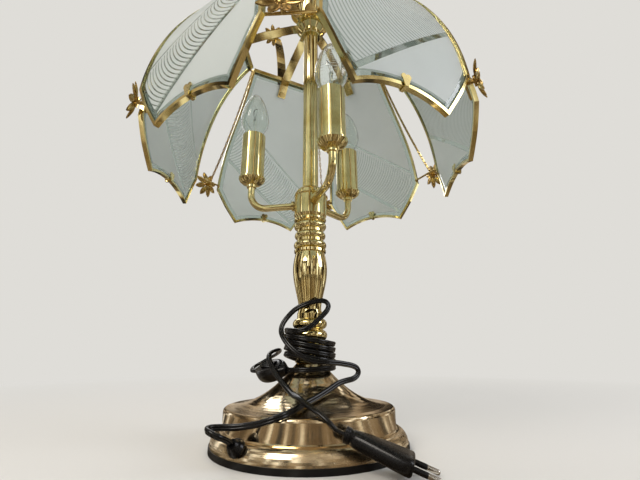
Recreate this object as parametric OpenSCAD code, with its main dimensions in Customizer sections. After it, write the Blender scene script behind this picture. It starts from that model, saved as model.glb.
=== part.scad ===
// Tulip shade table lamp: six bowed glass panels in brass frames hang from a
// brass spider, round three candle bulbs on J-shaped arms. The stem is a stack
// of turned brass pieces on one threaded rod, and the base is a spun shell over
// an iron weight. Millimetres, +Z up, origin under the middle of the foot.

/* [Base] */
// Radius of the rubber foot ring
foot_r = 92.5; // [86:0.5:100]
// Height of the rubber foot ring
foot_h = 5; // [4:0.5:7]
// Height of the rounded lower swell of the shell
swell_h = 12; // [9:0.5:16]
// Radius of the upright drum above the swell
drum_r = 81.5; // [76:0.5:84]
// Height of the drum
drum_h = 15.5; // [12:0.5:20]
// Height of the trumpet-shaped cone on the drum
cone_h = 41.5; // [36:0.5:46]
// Thickness of the sheet brass
shell_wall = 0.9; // [0.6:0.1:1.4]
// Radius of the iron weight
weight_r = 70; // [50:1:74]
// Thickness of the iron weight
weight_h = 18; // [17:1:22]
// Direction of the cord grommet round the base
grommet_angle = -128; // [-180:1:180]

/* [Rod] */
// Outer radius of the threaded rod that holds the lamp together
rod_r = 5; // [4.5:0.1:5.6]
// Radius of the cable way inside the rod
rod_bore_r = 3.8; // [3:0.1:4]
// Radial clearance of what slides over the rod
rod_gap = 0.08; // [0.05:0.01:0.1]

/* [Stem] */
// Largest radius of the turned beads
bead_r = 17.8; // [15:0.1:20]
// Height of the piece with the beads
bead_h = 55; // [50:1:62]
// Smallest radius of the stem, at the foot of the vase
neck_r = 11.8; // [10:0.1:13.5]
// Largest radius of the vase
vase_r = 18.3; // [16:0.1:21]
// Height of the vase
vase_h = 61; // [52:1:70]
// Height of the stack of rings
ring_h = 33; // [28:1:40]
// Radius of the arm hub
hub_r = 18.2; // [16:0.1:21]
// Height of the arm hub
hub_h = 33; // [30:1:40]
// Height of the domed cap on the hub
cap_h = 8; // [6:0.5:12]
// Radius of the upper tube
tube_r = 9.1; // [8:0.1:10.5]
// Wall of the upper tube
tube_wall = 1; // [0.8:0.1:1.4]
// Length of the upper tube
tube_h = 233; // [200:1:270]

/* [Arms and bulbs] */
// Number of arms
arm_count = 3; // [2:1:3]
// Direction of the first arm
arm_turn = -73; // [-180:1:180]
// Distance from the stem to a bulb
arm_reach = 72; // [64:1:80]
// Outer radius of the arm tube
arm_r = 4; // [3.4:0.1:4.4]
// Radius of the arm's bend
arm_bend = 20; // [16:1:26]
// Height of the arm above the foot of the hub
arm_rise = 21; // [17:0.5:24]
// Height of the upright end of the arm up to the bulb cup
arm_up = 32; // [26:1:40]
// Outer radius of the candle tube round a bulb holder
sleeve_r = 14; // [13.2:0.1:15.5]
// Length of the candle tube
sleeve_h = 58; // [50:1:66]
// Largest radius of a bulb
bulb_r = 17.5; // [15:0.1:19]
// Height of the glass of a bulb above its holder
bulb_h = 62; // [54:1:70]
// Radius of a bulb's screw cap
cap_r = 6.9; // [6.5:0.05:7]
// Radial clearance of the screw cap in its holder
cap_gap = 0.08; // [0.05:0.01:0.1]

/* [Shade] */
// Number of glass panels
panel_count = 6; // [6:1:6]
// Direction of the first panel
shade_turn = -65; // [-180:1:180]
// Radius of the panels' upright curve
panel_curve_r = 254; // [245:1:270]
// Distance from the stem to a panel at its widest level
panel_out = 171.7; // [168:0.5:178]
// Drop from the top edge of a panel to its widest level
panel_wide_drop = 167; // [160:1:174]
// Drop from the top edge of a panel to its lower corners
panel_drop = 216; // [206:1:226]
// Half the width of a panel at the top
panel_top_w = 50; // [46:0.5:50.5]
// Half the width of a panel at its widest
panel_wide_w = 75; // [66:0.5:76]
// Half the distance between the lower corners
panel_low_w = 45; // [38:0.5:52]
// Rise of the arched lower edge
panel_arch = 10.5; // [6:0.5:15]
// Thickness of the glass
glass_t = 3; // [2.5:0.1:4]
// Width of the brass edging on the face of the glass
came_w = 2.8; // [2:0.1:4]
// Thickness of the brass edging over each face of the glass
came_t = 0.8; // [0.6:0.1:1.2]
// Width of the spider's arms
strap_w = 12; // [9:0.5:15]
// Thickness of the spider's arms
strap_t = 1.5; // [1.2:0.1:2]
// Width of the flower ribbons above the panels
ribbon_w = 14; // [10:0.5:18]
// Height of the flower ribbons above the panel screws
ribbon_rise = 140; // [110:1:150]
// Radius of an eight-petalled rosette
rosette_r = 20; // [15:0.5:23]
// Distance of a rosette from the middle of its bar
rosette_shift = 6; // [0:0.5:8]
// Radius of the crown cup over the spider
crown_r = 20.5; // [17:0.5:24]
// Height of the crown cup
crown_h = 52; // [44:1:60]

/* [Cord] */
// Diameter of the cord
cord_d = 5.2; // [5:0.1:5.4]
// Radius of the winding round the stem
wind_r = 24.5; // [24:0.1:25]
// Number of turns in the winding
wind_turns = 5; // [4:1:5]
// Rise of the winding in one turn
wind_pitch = 5.5; // [6:0.1:6.4]
// Length of the switch on the cord
switch_l = 46; // [44:1:52]
// Width of the switch
switch_w = 26; // [22:1:28]
// Thickness of the switch
switch_t = 15; // [12:0.5:16]
// Length of the plug without its pins
plug_l = 52; // [46:1:54]
// Width of the plug at its pins
plug_w = 32; // [28:1:35]
// Thickness of the plug
plug_t = 13.5; // [11:0.5:14]
// Length of the plug's pins
pin_l = 19; // [17:0.5:19]

/* [Hidden] */

brass = "goldenrod";
black = [0.07, 0.07, 0.08];
seat_gap = 0.3;

// Heights of the stack
drum_z = foot_h + swell_h;
cone_z = drum_z + drum_h;
stem_z = cone_z + cone_h;
vase_z = stem_z + bead_h;
ring_z = vase_z + vase_h;
hub_z = ring_z + ring_h;
cap_z = hub_z + hub_h;
tube_z = cap_z + cap_h;
shade_z = tube_z + tube_h;
crown_z = shade_z + seat_gap + strap_t;
rod_top = crown_z + crown_h + 12;
cover_z = 1.2;
cover_t = 1;
weight_z = cover_z + cover_t + 1;
nut_h = 6;
nut_z = weight_z + 5.6;
nut_room_r = 14;
nut_room_h = nut_z - weight_z + nut_h + 1.5;

module bored_over_rod(h, extra = 0) {
  cylinder(r = rod_r + rod_gap + extra, h = h, $fn = 64);
}

function unit(v) = v / norm(v);
function mix(a, b, t) = a + (b - a) * t;
// Points of a path moved sideways, to the left of its direction
function side_step(p, d) = [for (i = [0:len(p) - 1])
  let (a = p[max(i - 1, 0)], b = p[i], c = p[min(i + 1, len(p) - 1)],
       u = i == 0 ? unit(c - b) : unit(b - a),
       v = i == len(p) - 1 ? u : unit(c - b),
       n = unit([-u[1] - v[1], u[0] + v[0]]))
  b + n * d / max(0.5, n * [-u[1], u[0]])];
function backwards(p) = [for (i = [len(p) - 1:-1:0]) p[i]];
// A closed strip of thickness t to the left of a path
function strip(p, t) = concat(p, backwards(side_step(p, t)));

// ---- Base ----
cone_top_r = 13;
shoulder_r = 3;
swell_top_r = drum_r + 1;
swell_low_r = foot_r - 0.8;
cone_power = 2.15;
function swell_point(a) = [swell_top_r + (swell_low_r - swell_top_r) * cos(a), foot_h + swell_h * sin(a)];
function cone_height(r) = let (u = (r - cone_top_r) / (drum_r - cone_top_r))
  cone_z + shoulder_r + (cone_h - shoulder_r) * pow(max(0, 1 - u), cone_power);
base_outline = concat(
  [[swell_low_r, foot_h - 2]],
  [for (a = [0:9:81]) swell_point(a)],
  [[swell_top_r, drum_z], [drum_r, drum_z + 0.8]],
  [for (a = [0:22.5:90]) [drum_r - shoulder_r * (1 - cos(a)), cone_z + shoulder_r * sin(a)]],
  [for (i = [1:15]) let (r = mix(drum_r - shoulder_r - 2, cone_top_r, i / 15)) [r, cone_height(r)]]);

grommet_rise = 42;
grommet_at = swell_point(grommet_rise);
grommet_tilt = atan2(sin(grommet_rise) / swell_h, cos(grommet_rise) / (swell_low_r - swell_top_r));
grommet_out = 9;
grommet_hole_r = 4;
module at_grommet() {
  rotate([0, 0, grommet_angle]) translate([grommet_at[0], 0, grommet_at[1]])
    rotate([0, 90 - grommet_tilt, 0]) children();
}

module foot_ring() {
  color(black) rotate_extrude($fn = 180) difference() {
    translate([foot_r - 8, 0]) square([8, foot_h]);
    translate([swell_low_r - shell_wall - 0.15, foot_h - 2.1]) square([shell_wall + 0.2, 3]);
    translate([foot_r - 9, cover_z]) square([4, foot_h]);
  }
}

module base_shell() {
  color(brass) difference() {
    rotate_extrude($fn = 180) polygon(strip(base_outline, shell_wall));
    at_grommet() cylinder(r = grommet_hole_r, h = 12, center = true, $fn = 48);
  }
}

module base_weight() {
  color("dimgray") difference() {
    translate([0, 0, weight_z]) cylinder(r = weight_r, h = weight_h, $fn = 120);
    translate([0, 0, weight_z - 1]) bored_over_rod(weight_h + 2, 0.3);
    translate([0, 0, weight_z - 1]) cylinder(r = nut_room_r, h = nut_room_h + 1, $fn = 64);
    // way for the lead from the grommet to the rod
    rotate([0, 0, grommet_angle]) translate([0, -lead_r - 1, weight_z - 1])
      cube([weight_r + 1, 2 * lead_r + 2, 2 * lead_r + 3]);
  }
}

module base_cover() {
  color("#2b2724") translate([0, 0, cover_z]) cylinder(r = foot_r - 5.2, h = cover_t, $fn = 120);
}

module spacer_tube() {
  low = weight_z + weight_h;
  color("silver") translate([0, 0, low]) difference() {
    cylinder(r = rod_r + 3, h = stem_z - low, $fn = 48);
    translate([0, 0, -1]) bored_over_rod(cone_h + drum_h + swell_h + foot_h + 2, 0.1);
  }
}

module tie_rod() {
  low = nut_z - 0.2;
  color("gainsboro") difference() {
    translate([0, 0, low]) cylinder(r = rod_r, h = rod_top - low, $fn = 64);
    translate([0, 0, low - 1]) cylinder(r = rod_bore_r, h = rod_top - low + 2, $fn = 64);
  }
}

module base_nut() {
  washer_r = nut_room_r - 1;
  color("silver") difference() {
    union() {
      translate([0, 0, nut_z]) cylinder(r = 9, h = nut_h, $fn = 6);
      translate([0, 0, nut_z + nut_h]) cylinder(r = washer_r, h = 1.5, $fn = 48);
    }
    translate([0, 0, nut_z - 1]) bored_over_rod(nut_h + 4, 0);
  }
}

lead_r = 2.4;
module cord_grommet() {
  color(black) at_grommet() difference() {
    rotate_extrude($fn = 64) polygon([[0, -4], [grommet_hole_r + 1.2, -4], [grommet_hole_r + 1.2, -2.8],
      [grommet_hole_r - 0.05, -2.8], [grommet_hole_r - 0.05, 0.9], [7, 0.9], [7.2, 3], [6.4, 5.4],
      [5.2, 7], [4.2, grommet_out], [0, grommet_out]]);
    translate([0, 0, -5]) cylinder(r = lead_r + 0.1, h = grommet_out + 2, $fn = 32);
  }
}

// The lead from the grommet through the weight and up the rod to the hub
module inner_lead() {
  out_r = grommet_at[0] - 14;
  low_z = weight_z + lead_r + 0.1;
  color(black) {
    translate([0, 0, low_z]) cylinder(r = lead_r, h = hub_z + 8 - low_z, $fn = 32);
    rotate([0, 0, grommet_angle]) {
      translate([0, 0, low_z]) rotate([0, 90, 0]) cylinder(r = lead_r, h = out_r, $fn = 32);
      translate([out_r, 0, low_z]) sphere(r = lead_r + 0.1, $fn = 32);
      lead_link([out_r, low_z], grommet_at - 4.4 * [cos(grommet_tilt), sin(grommet_tilt)]);
    }
    translate([0, 0, low_z]) sphere(r = lead_r + 0.1, $fn = 32);
  }
}
// A round length of lead between two points of the XZ plane
module lead_link(a, b) {
  d = b - a;
  translate([a[0], 0, a[1]]) rotate([0, 90 - atan2(d[1], d[0]), 0]) cylinder(r = lead_r, h = norm(d), $fn = 32);
}

// ---- Stem ----
// A ring of round section round the stem
module bead(r, b, z) {
  translate([0, 0, z]) rotate_extrude($fn = 96) translate([r - b, 0]) circle(r = b, $fn = 48);
}
module turned(p) {
  rotate_extrude($fn = 96) polygon(p);
}

module bead_turning() {
  core_r = bead_r - 4.6;
  pitch = bead_h / 5;
  color(brass) difference() {
    translate([0, 0, stem_z]) union() {
      turned([[0, 0], [cone_top_r + 1.4, 0], [cone_top_r + 1.8, 1.6], [cone_top_r - 0.6, 4.2],
        [core_r, 7], [core_r, bead_h - 9], [neck_r + 1.4, bead_h - 7], [neck_r, bead_h - 3],
        [neck_r, bead_h], [0, bead_h]]);
      bead(bead_r - 0.8, pitch / 2 - 0.4, pitch * 1.35);
      bead(bead_r, pitch / 2 - 0.1, pitch * 2.4);
      bead(bead_r - 0.2, pitch / 2 - 0.1, pitch * 3.42);
    }
    translate([0, 0, stem_z - 1]) bored_over_rod(bead_h + 2, 0.1);
  }
}

vase_full = 0.66;
function vase_radius(t) = t < vase_full
  ? neck_r + (vase_r - neck_r) * pow(sin(90 * t / vase_full), 1.35)
  : vase_r - 2.4 * (1 - cos(90 * (t - vase_full) / (0.94 - vase_full)));
module stem_vase() {
  color(brass) difference() {
    translate([0, 0, vase_z]) union() {
      turned(concat([[0, 0]], [for (i = [0:20]) let (t = 0.94 * i / 20) [vase_radius(t), t * vase_h]],
        [[vase_r - 3.6, 0.95 * vase_h], [vase_r - 3.6, 0.96 * vase_h], [0, 0.96 * vase_h]]));
      translate([0, 0, 0.96 * vase_h]) cylinder(r = vase_r - 1, h = 0.04 * vase_h, $fn = 96);
    }
    translate([0, 0, vase_z - 1]) bored_over_rod(vase_h + 2, 0.1);
  }
}

module ring_turning() {
  third = ring_h / 3;
  waist_r = bead_r - 3.4;
  color(brass) difference() {
    translate([0, 0, ring_z]) union() {
      cylinder(r = waist_r, h = ring_h, $fn = 96);
      for (i = [0:2]) bead(bead_r - (i == 1 ? 0.8 : 0), third / 2 - 1, third * (i + 0.5));
    }
    translate([0, 0, ring_z - 1]) bored_over_rod(ring_h + 2, 0.1);
  }
}

arm_z = hub_z + arm_rise;
hub_wall = 2.4;
module arm_hub() {
  lip = 1.6;
  color(brass) difference() {
    translate([0, 0, hub_z]) turned([[0, 0], [hub_r - 1.8, 0], [hub_r - 0.4, 1.2], [hub_r - 0.4, 3],
      [hub_r - 2, 4.4], [hub_r, 7], [hub_r, hub_h - 4], [hub_r - 1.2, hub_h - 2.6],
      [hub_r - 0.2, hub_h - lip], [hub_r - 0.2, hub_h], [0, hub_h]]);
    translate([0, 0, hub_z - 1]) bored_over_rod(hub_h + 2, 0.1);
    translate([0, 0, hub_z + 6]) cylinder(r = hub_r - hub_wall, h = hub_h, $fn = 96);
    for (i = [0:arm_count - 1]) rotate([0, 0, arm_turn + i * 360 / arm_count])
      translate([hub_r / 2, 0, arm_z]) rotate([0, 90, 0]) cylinder(r = arm_r, h = hub_r, $fn = 48);
  }
}

module hub_cap() {
  color(brass) difference() {
    translate([0, 0, cap_z]) turned([[0, 0], [hub_r - 1.4, 0], [hub_r - 1.8, cap_h * 0.35],
      [hub_r - 3.4, cap_h * 0.65], [tube_r + 2.2, cap_h * 0.92], [tube_r + 1.6, cap_h], [0, cap_h]]);
    translate([0, 0, cap_z - 1]) bored_over_rod(cap_h + 2, 0.1);
  }
}

seat_r = tube_r + 7.6;
module upper_tube() {
  lip_r = tube_r + 3.8;
  color(brass) translate([0, 0, tube_z]) difference() {
    union() {
      cylinder(r = tube_r, h = tube_h, $fn = 96);
      // turned collar that the spider sits on
      turned([[0, tube_h - 15], [lip_r - 1, tube_h - 15], [lip_r, tube_h - 14], [lip_r, tube_h - 10.5],
        [lip_r - 1.4, tube_h - 9], [lip_r - 1, tube_h - 6], [seat_r, tube_h - 1], [seat_r, tube_h],
        [0, tube_h]]);
    }
    translate([0, 0, -1]) cylinder(r = tube_r - tube_wall, h = tube_h - 4, $fn = 96);
    translate([0, 0, tube_h - 6]) bored_over_rod(8, 0.1);
  }
}

// ---- Arms and bulbs ----
module at_arm(i) {
  rotate([0, 0, arm_turn + i * 360 / arm_count]) children();
}
module at_bulb(i) {
  at_arm(i) translate([arm_reach, 0, cup_z]) children();
}
cup_z = arm_z + arm_up;
cup_h = 8.5;
sleeve_wall = 0.8;
sleeve_z = cup_h - 1;
holder_r = sleeve_r - sleeve_wall - 0.5;
bulb_z = sleeve_z + sleeve_h;
arm_end = 5;

module arm(i) {
  inner = hub_r - hub_wall - 1.4;
  elbow = arm_reach - arm_bend;
  color(brass) at_arm(i) difference() {
    union() {
      translate([inner, 0, arm_z]) rotate([0, 90, 0]) cylinder(r = arm_r, h = elbow - inner, $fn = 48);
      translate([elbow, 0, arm_z + arm_bend]) rotate([90, 0, 0]) rotate([0, 0, -90])
        rotate_extrude(angle = 90, $fn = 96) translate([arm_bend, 0]) circle(r = arm_r, $fn = 48);
      translate([arm_reach, 0, arm_z + arm_bend])
        cylinder(r = arm_r, h = arm_up - arm_bend + arm_end, $fn = 48);
      // collar at the hub and nut under the cup
      translate([hub_r + 0.3, 0, arm_z]) rotate([0, 90, 0]) cylinder(r = arm_r + 1.8, h = 2.6, $fn = 48);
      translate([arm_reach, 0, cup_z - 4]) cylinder(r = arm_r + 1.6, h = 4, $fn = 48);
    }
    translate([inner - 1, 0, arm_z]) rotate([0, 90, 0])
      cylinder(r = arm_r - 1, h = elbow - inner + 1, $fn = 32);
    translate([elbow, 0, arm_z + arm_bend]) rotate([90, 0, 0]) rotate([0, 0, -90])
      rotate_extrude(angle = 90, $fn = 96) translate([arm_bend, 0]) circle(r = arm_r - 1, $fn = 32);
    translate([arm_reach, 0, arm_z + arm_bend]) cylinder(r = arm_r - 1, h = arm_up, $fn = 32);
  }
}

module bulb_cup(i) {
  rim = sleeve_r + 1.6;
  color(brass) at_bulb(i) difference() {
    turned([[0, 0], [arm_r + 3, 0], [rim - 4, 1.6], [rim - 1.2, 4], [rim, 6.4], [rim, cup_h],
      [rim - 0.9, cup_h], [rim - 0.9, sleeve_z], [0, sleeve_z]]);
    translate([0, 0, -1]) cylinder(r = arm_r + 0.05, h = cup_h + 2, $fn = 48);
    translate([0, 0, 3.6]) cylinder(r = rim - 5, h = cup_h, $fn = 96);
  }
}

module candle_tube(i) {
  color(brass) at_bulb(i) translate([0, 0, sleeve_z]) difference() {
    cylinder(r = sleeve_r, h = sleeve_h, $fn = 96);
    translate([0, 0, -1]) cylinder(r = sleeve_r - sleeve_wall, h = sleeve_h + 2, $fn = 96);
  }
}

cap_l = 24;
module bulb_holder(i) {
  low = sleeve_z + 0.2;
  top = bulb_z - 0.8;
  color("ivory") at_bulb(i) difference() {
    union() {
      translate([0, 0, 3.6]) cylinder(r = arm_r + 4, h = low - 3, $fn = 64);
      translate([0, 0, low]) cylinder(r = holder_r - 1.5, h = 24, $fn = 96);
      translate([0, 0, low + 20]) cylinder(r = holder_r, h = top - low - 20, $fn = 96);
    }
    translate([0, 0, 2]) cylinder(r = arm_r + 0.05, h = arm_end - 2 + 0.6, $fn = 48);
    translate([0, 0, top - cap_l - 2]) cylinder(r = cap_r + cap_gap, h = cap_l + 3, $fn = 64);
  }
}

// Outline of the candle bulb, from its neck to its tip
bulb_neck_r = cap_r + 0.9;
bulb_full = 0.36;
function bulb_radius(t) = t < bulb_full
  ? bulb_neck_r + (bulb_r - bulb_neck_r) * pow(sin(90 * t / bulb_full), 1.1)
  : bulb_r * pow(max(0, cos(90 * (t - bulb_full) / (1 - bulb_full))), 0.62) * (1 - 0.12 * (t - bulb_full));
bulb_lift = 0.5;
bulb_wall = 0.8;
bulb_outline = [for (i = [0:24]) let (t = 1 - pow(1 - i / 24, 1.25)) [i == 24 ? 0 : bulb_radius(t), t * bulb_h]];
module bulb_glass(i) {
  inside = [for (p = side_step(bulb_outline, bulb_wall)) [max(0, p[0]), p[1]]];
  color([0.9, 0.92, 0.93, 0.4]) at_bulb(i) translate([0, 0, bulb_z + bulb_lift])
    rotate_extrude($fn = 96) polygon(concat(bulb_outline,
      [[0, bulb_h - 1.4]], [for (k = [22:-1:0]) inside[k]]));
}

module bulb_mount(i) {
  color("lightgray") at_bulb(i) {
    translate([0, 0, bulb_z + bulb_lift - cap_l]) cylinder(r = cap_r, h = cap_l, $fn = 64);
    translate([0, 0, bulb_z + bulb_lift - cap_l - 1.2]) cylinder(r = 3.4, h = 1.2, $fn = 48);
    // glass stem with the filament's support
    translate([0, 0, bulb_z + bulb_lift]) turned([[0, 0], [5.4, 0], [3.2, 5], [1.8, 9],
      [1.8, bulb_h * 0.36], [1, bulb_h * 0.38], [0.8, bulb_h * 0.52], [0, bulb_h * 0.53]]);
  }
}

// ---- Shade ----
panel_z = shade_z - 12;
curve_x = panel_out - panel_curve_r;
wide_z = panel_z - panel_wide_drop;
curve_z = wide_z - 15;
low_z = panel_z - panel_drop;
// Distance from the stem to a panel at a height, at a depth below its outside
function panel_x(z, depth = 0) = curve_x + sqrt(pow(panel_curve_r - depth, 2) - pow(z - curve_z, 2));
module at_panel(i) {
  rotate([0, 0, shade_turn + i * 360 / panel_count]) children();
}
module at_gap(i) {
  rotate([0, 0, shade_turn + (i + 0.5) * 360 / panel_count]) children();
}

// The panel's outline seen from outside, without its arch
side_steps = 10;
side_swing = 0.075;
top_slope = asin((panel_z - curve_z) / panel_curve_r);
wide_slope = asin((wide_z - curve_z) / panel_curve_r);
function panel_w(t) = mix(panel_top_w, panel_wide_w, t - side_swing * sin(360 * t));
panel_side = [for (i = [0:side_steps]) let (t = i / side_steps)
  [panel_w(t), curve_z + panel_curve_r * sin(mix(top_slope, wide_slope, t))]];
panel_half = concat(panel_side, [[mix(panel_wide_w, panel_low_w, 0.5) + 1.2, mix(wide_z, low_z, 0.5)],
  [panel_low_w, low_z]]);
arch_r = (pow(panel_low_w, 2) + pow(panel_arch, 2)) / (2 * panel_arch);
// The half outline moved inwards by d, and its mirror image
function half_inset(d) = let (p = concat([[0, panel_z]], panel_half, [[0, low_z]]), q = side_step(p, -d))
  [for (i = [0:len(q) - 1]) i == 0 ? [0, panel_z - d] : i == len(q) - 1 ? [0, low_z + d] : q[i]];
module panel_outline(d) {
  h = half_inset(d);
  difference() {
    polygon(concat(h, [for (i = [len(h) - 2:-1:1]) [-h[i][0], h[i][1]]]));
    translate([0, low_z + panel_arch - arch_r]) circle(r = arch_r + d, $fn = 180);
  }
}
// A layer of the panel: its outline, between two depths from the outside face
module panel_layer(inset, from, to) {
  intersection() {
    translate([20, 0, 0]) rotate([90, 0, 90]) linear_extrude(panel_out + 10) panel_outline(inset);
    translate([curve_x, 0, curve_z]) rotate([90, 0, 0]) difference() {
      cylinder(r = panel_curve_r - from, h = 3 * panel_wide_w, center = true, $fn = 360);
      cylinder(r = panel_curve_r - to, h = 4 * panel_wide_w, center = true, $fn = 360);
    }
  }
}

came_lip = 0.8;
screw_r = 2;
// A panel screw's place, on the outside face below the top edge
screw_slope = top_slope - 4.4;
module at_screw() {
  translate([curve_x, 0, curve_z]) rotate([0, -screw_slope, 0])
    translate([panel_curve_r, 0, 0]) rotate([0, 90, 0]) children();
}

module glass_panel(i) {
  color([0.78, 0.82, 0.82, 0.75]) at_panel(i) difference() {
    panel_layer(came_lip, came_t, came_t + glass_t);
    at_screw() cylinder(r = screw_r + 0.4, h = 20, center = true, $fn = 48);
  }
}

module panel_edging(i) {
  color(brass) at_panel(i) difference() {
    panel_layer(0, 0, glass_t + 2 * came_t);
    panel_layer(came_w, -1, glass_t + 2 * came_t + 1);
    panel_layer(came_lip, came_t, came_t + glass_t);
  }
}

// The spider: a hub on the tube's collar and an arm to each panel's screw
spider_r = 20;
strap_end = 5;
strap_z = shade_z + seat_gap;
function face_point(slope, out) = [curve_x + (panel_curve_r + out) * cos(slope), curve_z + (panel_curve_r + out) * sin(slope)];
strap_inset = -(glass_t + 2 * came_t + 0.1 + strap_t);
module shade_spider() {
  brim = face_point(top_slope + 0.7, strap_inset - 1.4);
  path = [[spider_r - 6, strap_z], [spider_r + 4, strap_z - 0.4],
    mix([spider_r + 4, strap_z - 0.4], brim, 0.5) + [0, 1.6],
    brim, face_point(top_slope - 1.2, strap_inset), face_point(screw_slope - 1.1, strap_inset)];
  color(brass) difference() {
    union() {
      translate([0, 0, strap_z]) cylinder(r = spider_r, h = strap_t, $fn = 96);
      for (i = [0:panel_count - 1]) at_panel(i)
        translate([0, strap_w / 2, 0]) rotate([90, 0, 0]) linear_extrude(strap_w)
          polygon(strip(path, strap_t));
    }
    translate([0, 0, strap_z - 2]) bored_over_rod(strap_t + 4);
    for (i = [0:panel_count - 1]) at_panel(i) at_screw() cylinder(r = screw_r + 0.1, h = 30, center = true, $fn = 48);
  }
}

module panel_screws() {
  inner = glass_t + 2 * came_t + 0.5 + strap_t;
  outer = ribbon_t + 0.1;
  color(brass) for (i = [0:panel_count - 1]) at_panel(i) at_screw() {
    translate([0, 0, -inner - 1.5]) cylinder(r = screw_r, h = inner + outer + 3.5, $fn = 48);
    translate([0, 0, -inner - 2.6]) cylinder(r = 4, h = 2.6, $fn = 48);
    translate([0, 0, outer]) cylinder(r = 3.8, h = 2.4, $fn = 48);
  }
}

// The flower ribbons rise from the screws and bow outwards
ribbon_t = 1.2;
ribbon_bow = 28;
ribbon_bow_r = (ribbon_rise - 8) / sin(ribbon_bow);
screw_point = face_point(screw_slope, 0.1);
ribbon_foot = screw_point + 5 * [-sin(screw_slope), cos(screw_slope)];
ribbon_bend = [ribbon_foot[0] + 0.6, ribbon_foot[1] + 4];
function ribbon_point(a) = ribbon_bend + ribbon_bow_r * [1 - cos(a), sin(a)];
module flower_ribbons() {
  path = concat([screw_point - 6 * [-sin(screw_slope), cos(screw_slope)], ribbon_foot],
    [for (a = [0:ribbon_bow / 10:ribbon_bow]) ribbon_point(a)]);
  color(brass) for (i = [0:panel_count - 1]) at_panel(i) difference() {
    translate([0, ribbon_w / 2, 0]) rotate([90, 0, 0]) linear_extrude(ribbon_w)
      polygon(concat(path, backwards(side_step(path, -ribbon_t))));
    at_screw() cylinder(r = screw_r + 0.1, h = 12, center = true, $fn = 48);
  }
}

// A rosette of eight pointed petals round a boss, facing +Z
petal_count = 8;
petal_half_w = 0.19;
petal_dish = 16;
module petal(r) {
  w = petal_half_w * r;
  l = 0.4 * r;
  arc = (pow(l, 2) + pow(w, 2)) / (2 * w);
  translate([0.58 * r, 0, 0]) linear_extrude(1) intersection() {
    translate([0, arc - w]) circle(r = arc, $fn = 96);
    translate([0, w - arc]) circle(r = arc, $fn = 96);
  }
}
module rosette(r) {
  for (k = [0:petal_count - 1]) rotate([0, 0, (k + 0.5) * 360 / petal_count])
    rotate([0, -petal_dish, 0]) petal(r);
  translate([0, 0, -0.6]) cylinder(r = 0.26 * r, h = 1.8, $fn = 48);
  translate([0, 0, 1.2]) cylinder(r = 0.13 * r, h = 1.8, $fn = 48);
}

module top_rosettes() {
  tip = ribbon_point(ribbon_bow);
  color(brass) for (i = [0:panel_count - 1]) at_panel(i)
    translate([tip[0], rosette_shift, tip[1]]) rotate([0, ribbon_bow, 0]) translate([ribbon_t / 2, 0, 0.7])
      rosette(rosette_r - 1);
}

// The side rosettes stand in the gaps on bars that hook behind the edging
bar_r = 1.3;
gap_half_angle = 180 / panel_count;
bar_z = wide_z + 4;
// A bar of radius r across a gap rests behind the edging of both panels
function gap_bar_in(z, r) = panel_x(z, glass_t + 2 * came_t + r + 0.25);
function gap_bar_w(z) = panel_w((top_slope - asin((z - curve_z) / panel_curve_r)) / (top_slope - wide_slope));
function gap_bar_half(z, r) =
  (gap_bar_in(z, r) * tan(gap_half_angle) - gap_bar_w(z) + came_w - 0.7) * cos(gap_half_angle);
function gap_bar_x(z, r) =
  (gap_bar_in(z, r) - gap_bar_half(z, r) * sin(gap_half_angle)) / cos(gap_half_angle);
bar_half = gap_bar_half(bar_z, bar_r);
bar_x = gap_bar_x(bar_z, bar_r);
rosette_x = bar_x + 8;
module side_rosettes() {
  color(brass) for (i = [0:panel_count - 1]) at_gap(i) {
    translate([bar_x, 0, bar_z]) rotate([90, 0, 0]) cylinder(r = bar_r, h = 2 * bar_half, center = true, $fn = 32);
    translate([bar_x, -rosette_shift, bar_z]) rotate([0, 90, 0]) cylinder(r = bar_r + 0.5, h = rosette_x - bar_x, $fn = 32);
    translate([rosette_x, -rosette_shift, bar_z]) rotate([0, 84, 0]) rosette(rosette_r);
  }
}

// Chains hang in the gaps from the panels' top corners to the rosettes
chain_r = 1.1;
chain_steps = 10;
chain_sag = 5;
chain_bar_z = panel_z - 6;
chain_bar_half = gap_bar_half(chain_bar_z, chain_r);
chain_top = [gap_bar_x(chain_bar_z, chain_r), chain_bar_z];
chain_low = [rosette_x - 3, bar_z + bar_r + 0.5 + chain_r + 0.1];
module corner_chains() {
  color(brass) for (i = [0:panel_count - 1]) at_gap(i) {
    translate([chain_top[0], 0, chain_top[1]]) rotate([90, 0, 0])
      cylinder(r = chain_r, h = 2 * chain_bar_half, center = true, $fn = 32);
    swept([for (k = [0:chain_steps]) let (t = k / chain_steps)
      [mix(chain_top[0], chain_low[0], t) - 4 * chain_sag * t * (1 - t) * 0.5,
       -rosette_shift * t, mix(chain_top[1], chain_low[1], t) - 4 * chain_sag * t * (1 - t)]], chain_r, 6);
  }
}

// Heart-shaped clips pinch the middle of each lower edge
clip_t = 0.9;
clip_w = 4.2;
clip_up = 7.5;
arch_mid = low_z + panel_arch;
module clip_face() {
  rotate([90, 0, 90]) linear_extrude(clip_t) union() {
    for (s = [-1, 1]) translate([s * clip_w * 0.52, arch_mid + clip_up]) circle(r = clip_w * 0.62, $fn = 32);
    polygon([[-clip_w, arch_mid + clip_up - 1], [-1.6, arch_mid - 1.2], [1.6, arch_mid - 1.2], [clip_w, arch_mid + clip_up - 1]]);
  }
}
module edge_clips() {
  deep = glass_t + 2 * came_t + 1.3;
  x = panel_x(arch_mid + clip_up / 2) + 0.6;
  color(brass) for (i = [0:panel_count - 1]) at_panel(i) {
    translate([x, 0, 0]) clip_face();
    translate([x - deep - clip_t, 0, 0]) clip_face();
    translate([x - deep - clip_t, -1.6, arch_mid - 1.2]) cube([deep + 2 * clip_t, 3.2, 1]);
  }
}

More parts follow.
